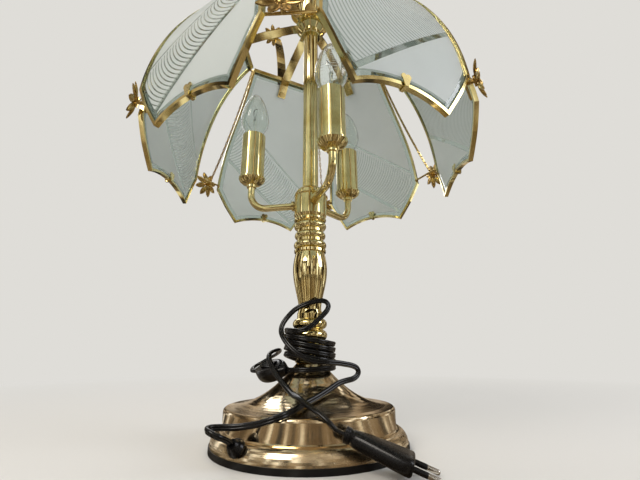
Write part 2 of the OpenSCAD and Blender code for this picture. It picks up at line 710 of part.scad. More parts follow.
// The crown cup holds the spider down, with six drooping petals under its rim
crown_wall = 1.2;
leaf_l = 17;
leaf_w = 7;
module crown_leaf() {
  arc = (pow(leaf_l / 2, 2) + pow(leaf_w, 2)) / (2 * leaf_w);
  translate([leaf_l / 2, 0, 0]) linear_extrude(1.2) intersection() {
    translate([0, arc - leaf_w]) circle(r = arc, $fn = 96);
    translate([0, leaf_w - arc]) circle(r = arc, $fn = 96);
  }
}
module crown_cup() {
  body = [[spider_r - 5, 0], [spider_r - 4, 3], [crown_r - 2.4, crown_h * 0.25], [crown_r, crown_h * 0.55],
    [crown_r + 0.4, crown_h * 0.8], [crown_r - 2, crown_h - 3], [rod_r + 4, crown_h]];
  color(brass) translate([0, 0, crown_z]) difference() {
    union() {
      rotate_extrude($fn = 96) difference() {
        polygon(concat([[0, 0]], body, [[0, crown_h]]));
        polygon(concat([[0, 2]], [for (p = side_step(body, crown_wall)) [max(0, p[0]), min(crown_h - 2, max(2, p[1]))]],
          [[0, crown_h - 2]]));
      }
      for (i = [0:panel_count - 1]) rotate([0, 0, shade_turn + (i + 0.5) * 360 / panel_count])
        translate([spider_r - 6, 0, 2.2]) rotate([0, -32, 0]) crown_leaf();
    }
    translate([0, 0, -2]) bored_over_rod(crown_h + 4);
  }
}

// The finial screws onto the rod above the crown cup
module finial() {
  low = crown_z + crown_h + seat_gap;
  room = rod_top - low + 0.6;
  color(brass) translate([0, 0, low]) difference() {
    union() {
      turned([[0, 0], [rod_r + 5, 0], [rod_r + 5.6, 1.4], [rod_r + 4.6, 3], [rod_r + 2.6, 5],
        [rod_r + 2.2, room], [rod_r + 3.6, room + 1.6], [rod_r + 2.4, room + 3], [0, room + 3]]);
      translate([0, 0, room + 9.4]) sphere(r = 8, $fn = 96);
      translate([0, 0, room + 17]) cylinder(r = 1.8, h = 3, $fn = 48);
    }
    translate([0, 0, -1]) bored_over_rod(room + 1);
  }
}

// ---- Cord ----
// A tube of n sides swept along a list of points
function tangents(p) = [for (i = [0:len(p) - 1]) unit(p[min(i + 1, len(p) - 1)] - p[max(i - 1, 0)])];
function carried(t, u, i = 0) = i == len(t) ? [] :
  let (v = unit(u - (u * t[i]) * t[i])) concat([v], carried(t, v, i + 1));
module swept(p, r, n) {
  t = tangents(p);
  u = carried(t, abs(t[0][2]) > 0.8 ? [1, 0, 0] : [0, 0, 1]);
  m = len(p);
  points = [for (i = [0:m - 1]) for (k = [0:n - 1]) let (a = 360 * k / n)
    p[i] + r * (cos(a) * u[i] + sin(a) * cross(t[i], u[i]))];
  faces = concat([[for (k = [0:n - 1]) k]],
    [for (i = [0:m - 2]) for (k = [0:n - 1]) let (j = (k + 1) % n) [i * n + k, i * n + n + k, i * n + j]],
    [for (i = [0:m - 2]) for (k = [0:n - 1]) let (j = (k + 1) % n) [i * n + j, i * n + n + k, i * n + n + j]],
    [[for (k = [n - 1:-1:0]) (m - 1) * n + k]]);
  polyhedron(points = points, faces = faces, convexity = 10);
}
// Catmull-Rom points between the chosen points of a route, with straight ends
function eased(p, n) = concat([for (i = [0:len(p) - 2]) for (k = [0:(i == 0 || i == len(p) - 2 ? 0 : n - 1)])
  let (a = p[max(i - 1, 0)], b = p[i], c = p[i + 1], d = p[min(i + 2, len(p) - 1)], t = k / n)
  0.5 * (2 * b + (c - a) * t + (2 * a - 5 * b + 4 * c - d) * t * t + (3 * b - a - 3 * c + d) * t * t * t)],
  [p[len(p) - 1]]);

grommet_dir = [cos(grommet_tilt) * cos(grommet_angle), cos(grommet_tilt) * sin(grommet_angle), sin(grommet_tilt)];
feed_start = [grommet_at[0] * cos(grommet_angle), grommet_at[0] * sin(grommet_angle), grommet_at[1]] + grommet_out * grommet_dir;

// The winding runs clockwise down the stem, seen from above
wind_start = -140;
wind_end = -135;
wind_sweep = 360 * wind_turns + wind_start - wind_end;
wind_low = 67.6;
// All but the last turn lean down to the right
wind_lean = 0.22;
function wind_lean_at(a) = let (t = min(1, max(0, (wind_sweep - a - 100) / 260))) wind_lean * t * t * (3 - 2 * t);
function wind_point(a) = [wind_r * cos(wind_start - a), wind_r * sin(wind_start - a),
  wind_low + wind_pitch * (wind_sweep - a) / 360 + wind_lean_at(a) * wind_r * (1 - cos(wind_start - a))];
function wind_dir(a) = unit(wind_point(a + 1) - wind_point(a - 1));
switch_lead = 6;
wind_path = concat([wind_point(0) - cord_d * wind_dir(0)], [for (a = [0:15:wind_sweep - 8]) wind_point(a)],
  [wind_point(wind_sweep), wind_point(wind_sweep) + switch_lead * wind_dir(wind_sweep)]);
wind_first = wind_path[0];
wind_last = wind_path[len(wind_path) - 1];

feed_route = concat([feed_start, feed_start + 6 * grommet_dir],
  [[-67, -85.5, 24.5], [-72, -86, 26.8], [-76.3, -83.4, 28.4], [-77.5, -79, 29], [-74.8, -75.2, 29.2],
   [-70, -73.6, 29.1], [-64, -73.2, 29], [-58, -73.5, 29], [-50, -75, 30], [-42, -78, 31.5], [-34, -81.3, 33.8],
   [-27, -82.5, 36], [-20.5, -79.5, 38], [-14, -71, 39.6], [-5, -59, 43], [6, -49, 47.2], [17, -39, 52.3],
   [26, -31, 56.8], [34, -24, 58.6], [40.5, -17.8, 59.6], [45.3, -13.6, 62.2], [47, -12.2, 65.9], [45, -13.2, 69.5],
   [40, -15.8, 71.7], [33.5, -19.2, 73], [26, -23.4, 74.2], [16, -28.5, 75], [5, -31.5, 76], [-4, -33, 78.6],
   [-12, -32, 83.5], [-19.5, -28.5, 90], [-25, -23.5, 96.8], [-28, -18.5, 103.5], [-27, -15.5, 110.5],
   [-22, -14.5, 118], [-14.5, -16.5, 125], [-5, -18, 129.8], [3.5, -17.8, 132.4], [10.5, -16.4, 133.7],
   [15.8, -15, 132.8], [18.5, -14.5, 129.2], [17.3, -16, 124.6], [13.8, -18.4, 120.2], [8.8, -20.8, 115.2],
   [3, -23.4, 109.8], [-4, -25.5, 105.2]],
  [wind_first - 5 * wind_dir(0), wind_first]);

// The switch lies on the end of the winding, and the plug leans on the foot
switch_dir = wind_dir(wind_sweep);
switch_far = wind_last + switch_l * switch_dir;
switch_roll = -37;
plug_start = [24.5, -87, 26.5];
plug_dir = unit([0.905, -0.255, -0.341]);
tail_route = concat([switch_far, switch_far + 4 * switch_dir],
  [[-60.5, 27, 66], [-60.5, 33, 68.3], [-55, 36.5, 72], [-46, 34.5, 76.8], [-37.5, 27.5, 81], [-32.5, 18.5, 84.2],
   [-31.5, 9.5, 85.8], [-32.5, 2, 86.2], [-35.5, -4, 85.5], [-38.8, -8.5, 83.3], [-39.8, -13, 79.8],
   [-38, -17.5, 75.3], [-34.7, -22.5, 69.8], [-28.8, -31, 62.3], [-21, -42, 54.9], [-15.2, -52, 50.3],
   [-9.5, -62, 48.2], [-5.5, -68, 46], [-1.5, -72.5, 43.6], [3, -77, 41], [8, -81, 38.5], [13.5, -84.8, 34.2]],
  [plug_start - 5 * plug_dir, plug_start]);

module cord_feed() {
  color(black) swept(eased(feed_route, 2), cord_d / 2, 8);
}
module cord_winding() {
  color(black) swept(wind_path, cord_d / 2, 6);
}
module cord_tail() {
  color(black) swept(eased(tail_route, 2), cord_d / 2, 8);
}
// Least gap between points of the winding half a turn or more apart
wind_gap = min([for (i = [0:len(wind_path) - 1]) for (j = [i + 12:1:len(wind_path) - 1])
  norm(wind_path[i] - wind_path[j])]) - cord_d;
echo(least_gap_in_the_winding = wind_gap);

// The switch lies along the end of the winding
module at_switch() {
  translate(wind_last) rotate([0, 0, atan2(switch_dir[1], switch_dir[0])])
    rotate([0, 90 - asin(switch_dir[2]), 0]) rotate([0, 0, switch_roll]) rotate([0, -90, 0]) children();
}
// Lens outline of the switch between its two cord ends, along +X
module switch_outline(l, w) {
  arc = (pow(l / 2, 2) + pow(w / 2, 2)) / w;
  translate([switch_l / 2, 0]) intersection() {
    translate([0, arc - w / 2]) circle(r = arc, $fn = 180);
    translate([0, w / 2 - arc]) circle(r = arc, $fn = 180);
  }
}
// Side of the switch: half thickness a at its ends and b in the middle
module switch_side(a, b) {
  arc = (pow(switch_l / 2, 2) + pow(b - a, 2)) / (2 * (b - a));
  translate([switch_l / 2, 0]) intersection() {
    translate([0, b - arc]) circle(r = arc, $fn = 180);
    translate([0, arc - b]) circle(r = arc, $fn = 180);
    square([switch_l, 2 * b], center = true);
  }
}
rocker_l = 17;
rocker_w = 9;
rocker_gap = 0.4;
rocker_pin_r = 1.2;
rocker_deep = 4;
module switch_body() {
  edge = 1.6;
  end_t = cord_d + 2.4;
  color(black) at_switch() difference() {
    union() {
      intersection() {
        union() {
          translate([0, 0, -switch_t / 2 + edge]) linear_extrude(switch_t - 2 * edge) switch_outline(switch_l, switch_w);
          translate([0, 0, -switch_t / 2]) linear_extrude(switch_t) switch_outline(switch_l - 8, switch_w - 2.6);
        }
        rotate([90, 0, 0]) linear_extrude(switch_w + 2, center = true) switch_side(end_t / 2, switch_t / 2 - 0.3);
      }
      rotate([0, 90, 0]) cylinder(r = end_t / 2 - 0.4, h = switch_l, $fn = 32);
    }
    translate([switch_l / 2 - rocker_l / 2 - rocker_gap, -rocker_w / 2 - rocker_gap, switch_t / 2 - 6.5])
      cube([rocker_l + 2 * rocker_gap, rocker_w + 2 * rocker_gap, 10]);
    translate([switch_l / 2, 0, switch_t / 2 - rocker_deep + 1]) rotate([90, 0, 0])
      cylinder(r = rocker_pin_r + 0.06, h = rocker_w + 6, center = true, $fn = 32);
  }
}
module switch_rocker() {
  color("#1c1c1e") at_switch() translate([switch_l / 2, 0, switch_t / 2 - rocker_deep + 1]) {
    rotate([90, 0, 0]) cylinder(r = rocker_pin_r, h = rocker_w + 4, center = true, $fn = 32);
    rotate([0, rocker_rest, 0]) translate([0, 0, -rocker_deep + 3.4]) intersection() {
      translate([-rocker_l / 2 + 0.5, -rocker_w / 2, -1]) cube([rocker_l - 1, rocker_w, 6.4]);
      translate([0, 0, 26.4]) rotate([90, 0, 0]) difference() {
        cylinder(r = 28, h = rocker_w + 2, center = true, $fn = 96);
        cylinder(r = 22.4, h = rocker_w + 4, center = true, $fn = 96);
      }
    }
  }
}
rocker_rest = -6;

// The plug leans on its pins beside the foot
module at_plug() {
  translate(plug_start) rotate([0, 0, atan2(plug_dir[1], plug_dir[0])])
    rotate([0, -asin(plug_dir[2]), 0]) children();
}
module plug() {
  collar_r = 6.2;
  collar_l = 6.5;
  pin_x = 9.5;
  pin_r = 2;
  color(black) at_plug() {
    // ringed collar, body that widens to its face, and two round pins
    rotate([0, 90, 0]) rotate_extrude($fn = 48) polygon([[0, 0], [cord_d / 2 + 0.9, 0], [collar_r, 1.6],
      [collar_r, collar_l - 1.5], [collar_r - 0.8, collar_l], [0, collar_l]]);
    translate([0, 0, -plug_t / 2]) linear_extrude(plug_t) polygon([[collar_l - 1, -collar_r], [collar_l - 1, collar_r],
      [plug_l - 12, plug_w / 2 - 0.8], [plug_l - 4, plug_w / 2], [plug_l, plug_w / 2 - 1.5],
      [plug_l, 1.5 - plug_w / 2], [plug_l - 4, -plug_w / 2], [plug_l - 12, 0.8 - plug_w / 2]]);
    for (s = [-1, 1]) translate([plug_l - 1, s * pin_x, 0]) rotate([0, 90, 0])
      cylinder(r = pin_r, h = pin_l + 1, $fn = 32);
  }
}

foot_ring();
base_shell();
base_weight();
base_cover();
spacer_tube();
tie_rod();
base_nut();
cord_grommet();
inner_lead();
bead_turning();
stem_vase();
ring_turning();
arm_hub();
hub_cap();
upper_tube();
finial();
for (i = [0:arm_count - 1]) {
  arm(i);
  bulb_cup(i);
  candle_tube(i);
  bulb_holder(i);
  bulb_glass(i);
  bulb_mount(i);
}
shade_spider();
crown_cup();
for (i = [0:panel_count - 1]) {
  glass_panel(i);
  panel_edging(i);
}
panel_screws();
flower_ribbons();
top_rosettes();
side_rosettes();
corner_chains();
edge_clips();
cord_feed();
cord_winding();
cord_tail();
switch_body();
switch_rocker();
plug();
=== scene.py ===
import math

import bmesh
import bpy
from mathutils import Matrix, Vector


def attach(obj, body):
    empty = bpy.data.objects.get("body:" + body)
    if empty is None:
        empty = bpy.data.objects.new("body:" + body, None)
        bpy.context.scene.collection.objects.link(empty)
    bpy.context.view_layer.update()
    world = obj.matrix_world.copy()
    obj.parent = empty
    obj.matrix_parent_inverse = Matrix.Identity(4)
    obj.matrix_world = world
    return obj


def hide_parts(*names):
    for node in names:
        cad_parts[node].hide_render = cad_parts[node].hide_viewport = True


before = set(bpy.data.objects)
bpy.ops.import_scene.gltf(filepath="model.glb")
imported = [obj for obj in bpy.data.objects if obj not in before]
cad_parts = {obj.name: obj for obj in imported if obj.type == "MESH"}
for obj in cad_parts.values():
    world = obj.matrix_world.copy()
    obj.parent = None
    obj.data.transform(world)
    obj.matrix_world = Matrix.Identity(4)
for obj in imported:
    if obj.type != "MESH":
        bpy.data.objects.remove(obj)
bpy.context.view_layer.update()
print("frame loaded")


# a colour from its sRGB hex code
def linear(code):
    parts = [int(code[i:i + 2], 16) / 255 for i in (0, 2, 4)]
    return tuple(c / 12.92 if c <= 0.04045 else ((c + 0.055) / 1.055) ** 2.4 for c in parts) + (1.0,)


# lower-case keys are the node's own settings, the others are its input sockets
def addNode(tree, kind, settings=None, links=None):
    node = tree.nodes.new(kind)
    settings = settings or {}
    for key, value in settings.items():
        if isinstance(key, str) and key[0].islower():
            setattr(node, key, value)
    for key, value in settings.items():
        if not (isinstance(key, str) and key[0].islower()):
            node.inputs[key].default_value = value
    for key, socket in (links or {}).items():
        tree.links.new(socket, node.inputs[key])
    return node


def newMaterial(name):
    mat = bpy.data.materials.new(name)
    mat.use_nodes = True
    tree = mat.node_tree
    tree.nodes.clear()
    out = addNode(tree, "ShaderNodeOutputMaterial")
    shader = addNode(tree, "ShaderNodeBsdfPrincipled")
    tree.links.new(shader.outputs[0], out.inputs[0])
    coords = addNode(tree, "ShaderNodeTexCoord").outputs["Object"]
    return mat, tree, shader, coords


# a shape is a pair of its points, in mm until it is scaled, and its faces
scale = Matrix.Scale(0.001, 4)


# a piece from a shape in metres; edges sharper than smooth, in degrees, stay sharp
def meshPiece(name, shape, mat, smooth=40):
    points, faces = shape
    mesh = bpy.data.meshes.new(name)
    mesh.from_pydata([tuple(p) for p in points], [], faces)
    mesh.materials.append(mat)
    work = bmesh.new()
    work.from_mesh(mesh)
    bmesh.ops.recalc_face_normals(work, faces=work.faces)
    work.to_mesh(mesh)
    work.free()
    if smooth:
        mesh.polygons.foreach_set("use_smooth", [True] * len(mesh.polygons))
        mesh.set_sharp_from_angle(angle=math.radians(smooth))
    piece = bpy.data.objects.new(name, mesh)
    bpy.context.scene.collection.objects.link(piece)
    return piece


def placeOn(piece, body, slotName, *nodes):
    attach(piece, body)
    if nodes:
        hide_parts(*nodes)


# quads between rings of equal length, closed at both ends
def ringFaces(rings, size):
    faces = []
    for i in range(rings - 1):
        for k in range(size):
            j = (k + 1) % size
            faces.append([i * size + k, i * size + j, (i + 1) * size + j, (i + 1) * size + k])
    return faces + [list(range(size)), list(range((rings - 1) * size, rings * size))]


# quads between rings of which the last meets the first
def loopFaces(rings, size):
    faces = []
    for i in range(rings):
        after = (i + 1) % rings
        for k in range(size):
            j = (k + 1) % size
            faces.append([i * size + k, after * size + k, after * size + j, i * size + j])
    return faces


# the two sides of a sheet, each a grid of rows by columns, and the rim between them
def sheetFaces(rows, columns):
    size = rows * columns
    quads = [[i * columns + k, i * columns + k + 1, (i + 1) * columns + k + 1, (i + 1) * columns + k]
             for i in range(rows - 1) for k in range(columns - 1)]
    faces = [quad[::-1] for quad in quads] + [[size + corner for corner in quad] for quad in quads]
    rim = list(range(columns)) + [i * columns + columns - 1 for i in range(1, rows)]
    rim += [(rows - 1) * columns + k for k in range(columns - 2, -1, -1)]
    rim += [i * columns for i in range(rows - 2, 0, -1)]
    return faces + [[a, b, size + b, size + a] for a, b in zip(rim, rim[1:] + rim[:1])]


# round shape from (radius, height) pairs; a first or last radius of 0 is a pole
def turned(profile, sides=64):
    points, rings = [], []
    for r, z in profile:
        if r < 1e-9:
            rings.append([len(points)])
            points.append((0, 0, z))
        else:
            rings.append(list(range(len(points), len(points) + sides)))
            points += [(r * math.cos(2 * math.pi * k / sides), r * math.sin(2 * math.pi * k / sides), z)
                       for k in range(sides)]
    faces = []
    for a, b in zip(rings, rings[1:]):
        for k in range(sides):
            j = (k + 1) % sides
            quad = [a[k % len(a)], a[j % len(a)], b[j % len(b)], b[k % len(b)]]
            faces.append(list(dict.fromkeys(quad)))
    for ring in (rings[0], rings[-1]):
        if len(ring) > 1:
            faces.append(ring)
    return points, faces


def moved(shape, matrix):
    return [matrix @ Vector(p) for p in shape[0]], shape[1]


def joined(shapes):
    points, faces = [], []
    for somePoints, someFaces in shapes:
        base = len(points)
        points += list(somePoints)
        faces += [[base + k for k in face] for face in someFaces]
    return points, faces


def turn(angle, axis="Z"):
    return Matrix.Rotation(math.radians(angle), 4, axis)


def shift(x, y, z):
    return Matrix.Translation((x, y, z))


def frameMatrix(origin, xAxis, yAxis, zAxis):
    rows = [list(row) for row in zip(xAxis, yAxis, zAxis, origin)]
    return Matrix(rows + [[0, 0, 0, 1]])


# radius of the arc that rises so far over a chord of twice half
def arcRadius(half, rise):
    return (half ** 2 + rise ** 2) / (2 * rise)


def tangentsOf(points):
    last = len(points) - 1
    return [(points[min(i + 1, last)] - points[max(i - 1, 0)]).normalized() for i in range(last + 1)]


# the photo's viewing place: metres from the lamp's foot, and degrees
cameraPlace = {
    "position": (-0.0026, -0.3869, 0.085),
    "sensor": 36.0,
    "lens": 20.58,
    "pitch": 16.887,
    "yaw": 1.998,
    "roll": -0.29,
}
pitch, yaw, roll = (math.radians(cameraPlace[k]) for k in ("pitch", "yaw", "roll"))
rightward = Vector((math.cos(yaw), -math.sin(yaw), 0))
forward = Vector((math.sin(yaw) * math.cos(pitch), math.cos(yaw) * math.cos(pitch), math.sin(pitch)))
upward = rightward.cross(forward)
camera = bpy.data.objects.new("camera", bpy.data.cameras.new("camera"))
bpy.context.scene.collection.objects.link(camera)
camera.data.sensor_width = cameraPlace["sensor"]
camera.data.lens = cameraPlace["lens"]
camera.data.clip_start = 0.01
camera.matrix_world = frameMatrix(
    cameraPlace["position"],
    math.cos(roll) * rightward + math.sin(roll) * upward,
    math.cos(roll) * upward - math.sin(roll) * rightward,
    -forward)
bpy.context.scene.camera = camera
bpy.context.scene.view_settings.view_transform = "Standard"
print("camera set")


# brass with dull marks 22 mm wide from handling, and the fine lines of its making, this many to a metre
def polishedBrass(name, bright, dull, low, high, lines):
    mat, tree, shader, coords = newMaterial(name)
    marks = addNode(tree, "ShaderNodeTexNoise", {"Scale": 45.0, "Detail": 4.0}, {"Vector": coords})
    smudge = addNode(tree, "ShaderNodeMapRange", {"From Min": 0.42, "From Max": 0.75}, {"Value": marks.outputs[0]})
    tint = addNode(tree, "ShaderNodeMix", {"data_type": "RGBA", 6: linear(bright), 7: linear(dull)},
                   {0: smudge.outputs[0]})
    tree.links.new(tint.outputs[2], shader.inputs["Base Color"])
    rough = addNode(tree, "ShaderNodeMapRange", {"From Min": 0.4, "From Max": 0.75, "To Min": low, "To Max": high},
                    {"Value": marks.outputs[0]})
    tree.links.new(rough.outputs[0], shader.inputs["Roughness"])
    stretched = addNode(tree, "ShaderNodeMapping", {"Scale": (30.0, 30.0, lines)}, {"Vector": coords})
    grooves = addNode(tree, "ShaderNodeTexNoise", {"Scale": 1.0, "Detail": 3.0}, {"Vector": stretched.outputs[0]})
    bump = addNode(tree, "ShaderNodeBump", {"Strength": 0.04, "Distance": 0.0002}, {"Height": grooves.outputs[0]})
    tree.links.new(bump.outputs[0], shader.inputs["Normal"])
    shader.inputs["Metallic"].default_value = 1.0
    return mat


# turned, polished and lacquered: a mirror, its lines 0.5 mm apart and barely seen
lacqueredBrass = polishedBrass("lacquered polished brass", "EFE0A6", "CDB672", 0.05, 0.15, 2000.0)
# drawn strip: nearly as bright; its lines are 2.5 mm apart, coarser than real ones, so that they show
edgingBrass = polishedBrass("drawn brass edging", "EFE1A4", "CDB872", 0.08, 0.2, 400.0)
# stamped sheet: browner and satin, with lines 1.4 mm apart
stampedBrass = polishedBrass("stamped brass sheet", "D2B878", "8A6C38", 0.14, 0.32, 700.0)

footWear = {
    "polished": "E8D6B2", "worn": "CDB48C", "pit": "5E4426",
    "lowTo": 0.014, "highFrom": 0.02,    # metres up; the pits gather low down, on the swell
}


# spun brass of the foot: browner and duller in worn patches 36 mm wide, with pits 4 mm apart
def wornBrass():
    mat, tree, shader, coords = newMaterial("worn spun brass")
    patches = addNode(tree, "ShaderNodeTexNoise", {"Scale": 28.0, "Detail": 6.0, "Roughness": 0.62},
                      {"Vector": coords})
    worn = addNode(tree, "ShaderNodeMapRange", {"From Min": 0.45, "From Max": 0.64}, {"Value": patches.outputs[0]})
    spots = addNode(tree, "ShaderNodeTexVoronoi", {"Scale": 260.0, "Randomness": 1.0}, {"Vector": coords})
    pits = addNode(tree, "ShaderNodeMapRange", {"From Min": 0.08, "From Max": 0.2, "To Min": 1.0, "To Max": 0.0},
                   {"Value": spots.outputs["Distance"]})
    where = addNode(tree, "ShaderNodeTexNoise", {"Scale": 60.0, "Detail": 3.0}, {"Vector": coords})
    sparse = addNode(tree, "ShaderNodeMapRange", {"From Min": 0.52, "From Max": 0.64}, {"Value": where.outputs[0]})
    split = addNode(tree, "ShaderNodeSeparateXYZ", {}, {0: coords})
    lowDown = addNode(tree, "ShaderNodeMapRange",
                      {"From Min": footWear["lowTo"], "From Max": footWear["highFrom"],
                       "To Min": 1.0, "To Max": 0.25}, {"Value": split.outputs[2]})
    there = addNode(tree, "ShaderNodeMath", {"operation": "MULTIPLY"}, {0: sparse.outputs[0], 1: lowDown.outputs[0]})
    pitted = addNode(tree, "ShaderNodeMath", {"operation": "MULTIPLY"}, {0: pits.outputs[0], 1: there.outputs[0]})
    tint = addNode(tree, "ShaderNodeMix",
                   {"data_type": "RGBA", 6: linear(footWear["polished"]), 7: linear(footWear["worn"])},
                   {0: worn.outputs[0]})
    dark = addNode(tree, "ShaderNodeMix", {"data_type": "RGBA", 7: linear(footWear["pit"])},
                   {0: pitted.outputs[0], 6: tint.outputs[2]})
    tree.links.new(dark.outputs[2], shader.inputs["Base Color"])
    rough = addNode(tree, "ShaderNodeMapRange", {"From Min": 0.4, "From Max": 0.7, "To Min": 0.05, "To Max": 0.22},
                    {"Value": patches.outputs[0]})
    # low down the brass is duller than on the drum and the cone, and in the pits duller still
    dulled = addNode(tree, "ShaderNodeMath", {"operation": "MULTIPLY_ADD", 1: 0.1},
                     {0: lowDown.outputs[0], 2: rough.outputs[0]})
    dull = addNode(tree, "ShaderNodeMath", {"operation": "MULTIPLY_ADD", 1: 0.35},
                   {0: pitted.outputs[0], 2: dulled.outputs[0]})
    tree.links.new(dull.outputs[0], shader.inputs["Roughness"])
    # spinning rings about 1 mm apart, fainter than the pits
    ringed = addNode(tree, "ShaderNodeMapping", {"Scale": (12.0, 12.0, 900.0)}, {"Vector": coords})
    rings = addNode(tree, "ShaderNodeTexNoise", {"Scale": 1.0, "Detail": 2.0}, {"Vector": ringed.outputs[0]})
    height = addNode(tree, "ShaderNodeMath", {"operation": "MULTIPLY_ADD", 1: -1.6},
                     {0: pitted.outputs[0], 2: rings.outputs[0]})
    bump = addNode(tree, "ShaderNodeBump", {"Strength": 0.08, "Distance": 0.0003}, {"Height": height.outputs[0]})
    tree.links.new(bump.outputs[0], shader.inputs["Normal"])
    shader.inputs["Metallic"].default_value = 1.0
    return mat


baseBrass = wornBrass()


# a dielectric or dull metal whose colour, gloss and surface share one grain, its size and depth in metres
def grained(name, main, other, size, low, high, depth=0.0001, metallic=0.0, shine=0.5):
    mat, tree, shader, coords = newMaterial(name)
    grain = addNode(tree, "ShaderNodeTexNoise", {"Scale": 1.0 / size, "Detail": 5.0}, {"Vector": coords})
    tint = addNode(tree, "ShaderNodeMix", {"data_type": "RGBA", 6: linear(main), 7: linear(other)},
                   {0: grain.outputs[0]})
    tree.links.new(tint.outputs[2], shader.inputs["Base Color"])
    rough = addNode(tree, "ShaderNodeMapRange", {"From Min": 0.3, "From Max": 0.7, "To Min": low, "To Max": high},
                    {"Value": grain.outputs[0]})
    tree.links.new(rough.outputs[0], shader.inputs["Roughness"])
    bump = addNode(tree, "ShaderNodeBump", {"Strength": 0.3, "Distance": depth}, {"Height": grain.outputs[0]})
    tree.links.new(bump.outputs[0], shader.inputs["Normal"])
    shader.inputs["Metallic"].default_value = metallic
    shader.inputs["Specular IOR Level"].default_value = shine
    return mat


# soft PVC: black and fairly glossy, a long highlight on each of its two cores, dust in the grain
cablePvc = grained("flexible PVC cable", "020202", "070708", 0.0009, 0.16, 0.3, 0.00004, shine=0.4)
# moulded ABS: finely sparked, so its highlights are wider than the cable's
mouldedAbs = grained("moulded ABS", "020202", "08080A", 0.0006, 0.2, 0.34, 0.00003, shine=0.36)
# vulcanised rubber: matt black, with no clear highlight
grommetRubber = grained("grommet rubber", "050505", "0C0C0D", 0.0012, 0.4, 0.6, 0.00005, shine=0.4)
# iron as it left the sand: dark grey and rough, brownish in places
rawIron = grained("sand-cast iron", "3B3A39", "57524C", 0.002, 0.55, 0.8, 0.0006, 0.6)
# pressed wool: flecked, with hardly any gloss
greenFelt = grained("pressed felt", "2C4436", "3D5A48", 0.0005, 0.85, 1.0, 0.0003)
# zinc plate: pale grey and cloudy
platedZinc = grained("zinc-plated steel", "A9ACAE", "C9CBCB", 0.0015, 0.25, 0.45, 0.00005, 1.0)
# nickel plate: warmer and brighter than zinc, and smooth
platedNickel = grained("nickel-plated brass", "C9C6BE", "DEDBD3", 0.002, 0.14, 0.26, 0.00001, 1.0)
# moulded PBT: warm white with a soft sheen
whitePbt = grained("white PBT holder", "DFDCD2", "EBE9E2", 0.001, 0.35, 0.5, 0.00004)
# drawn wire: dull grey, hardly shiny
tungsten = grained("drawn tungsten wire", "55524E", "77726B", 0.0004, 0.35, 0.5, 0.00002, 1.0)


# light that only casts the shadow passes straight through the glass, tinted, as far as share says
def letLightThrough(tree, shader, tint, share):
    path = addNode(tree, "ShaderNodeLightPath")
    through = addNode(tree, "ShaderNodeMath", {"operation": "MULTIPLY", 1: share},
                      {0: path.outputs["Is Shadow Ray"]})
    clear = addNode(tree, "ShaderNodeBsdfTransparent", {"Color": linear(tint)})
    both = addNode(tree, "ShaderNodeMixShader", {},
                   {0: through.outputs[0], 1: shader.outputs[0], 2: clear.outputs[0]})
    tree.links.new(both.outputs[0], tree.nodes["Material Output"].inputs[0])


# clear blown glass: thin, with slow waves 11 mm apart; only its edges and glints show
def blownGlass(name, tint, gloss):
    mat, tree, shader, coords = newMaterial(name)
    shader.inputs["Base Color"].default_value = linear(tint)
    shader.inputs["Transmission Weight"].default_value = 1.0
    shader.inputs["IOR"].default_value = 1.5
    waves = addNode(tree, "ShaderNodeTexNoise", {"Scale": 90.0, "Detail": 2.0}, {"Vector": coords})
    rough = addNode(tree, "ShaderNodeMapRange", {"To Min": gloss, "To Max": gloss + 0.03},
                    {"Value": waves.outputs[0]})
    tree.links.new(rough.outputs[0], shader.inputs["Roughness"])
    bump = addNode(tree, "ShaderNodeBump", {"Strength": 0.08, "Distance": 0.0003}, {"Height": waves.outputs[0]})
    tree.links.new(bump.outputs[0], shader.inputs["Normal"])
    letLightThrough(tree, shader, "F7F9F8", 1.0)
    return mat


bulbGlass = blownGlass("blown lamp glass", "F6FAF8", 0.0)

# mm on the panel, and degrees
etching = {
    "clearBorder": 7.0,      # bevelled clear edge
    "slope": 38.5,           # the band climbs to the right, seen from outside
    "bandLow": 11.0,         # where its lower line crosses the panel's middle, above the curve's centre
    "bandHigh": 89.0,
    "lowLine": 5.0,          # widths of the two stripes that bound it
    "highLine": 2.6,
    "arcPitch": 4.1,
    "arcLine": 1.25,
    "arcRadius": 57.0,
    "arcShift": -1.5,        # the arcs' own middle lies below the band's
    "arcShort": 4.2,         # and they fill this much less of it on each side
}


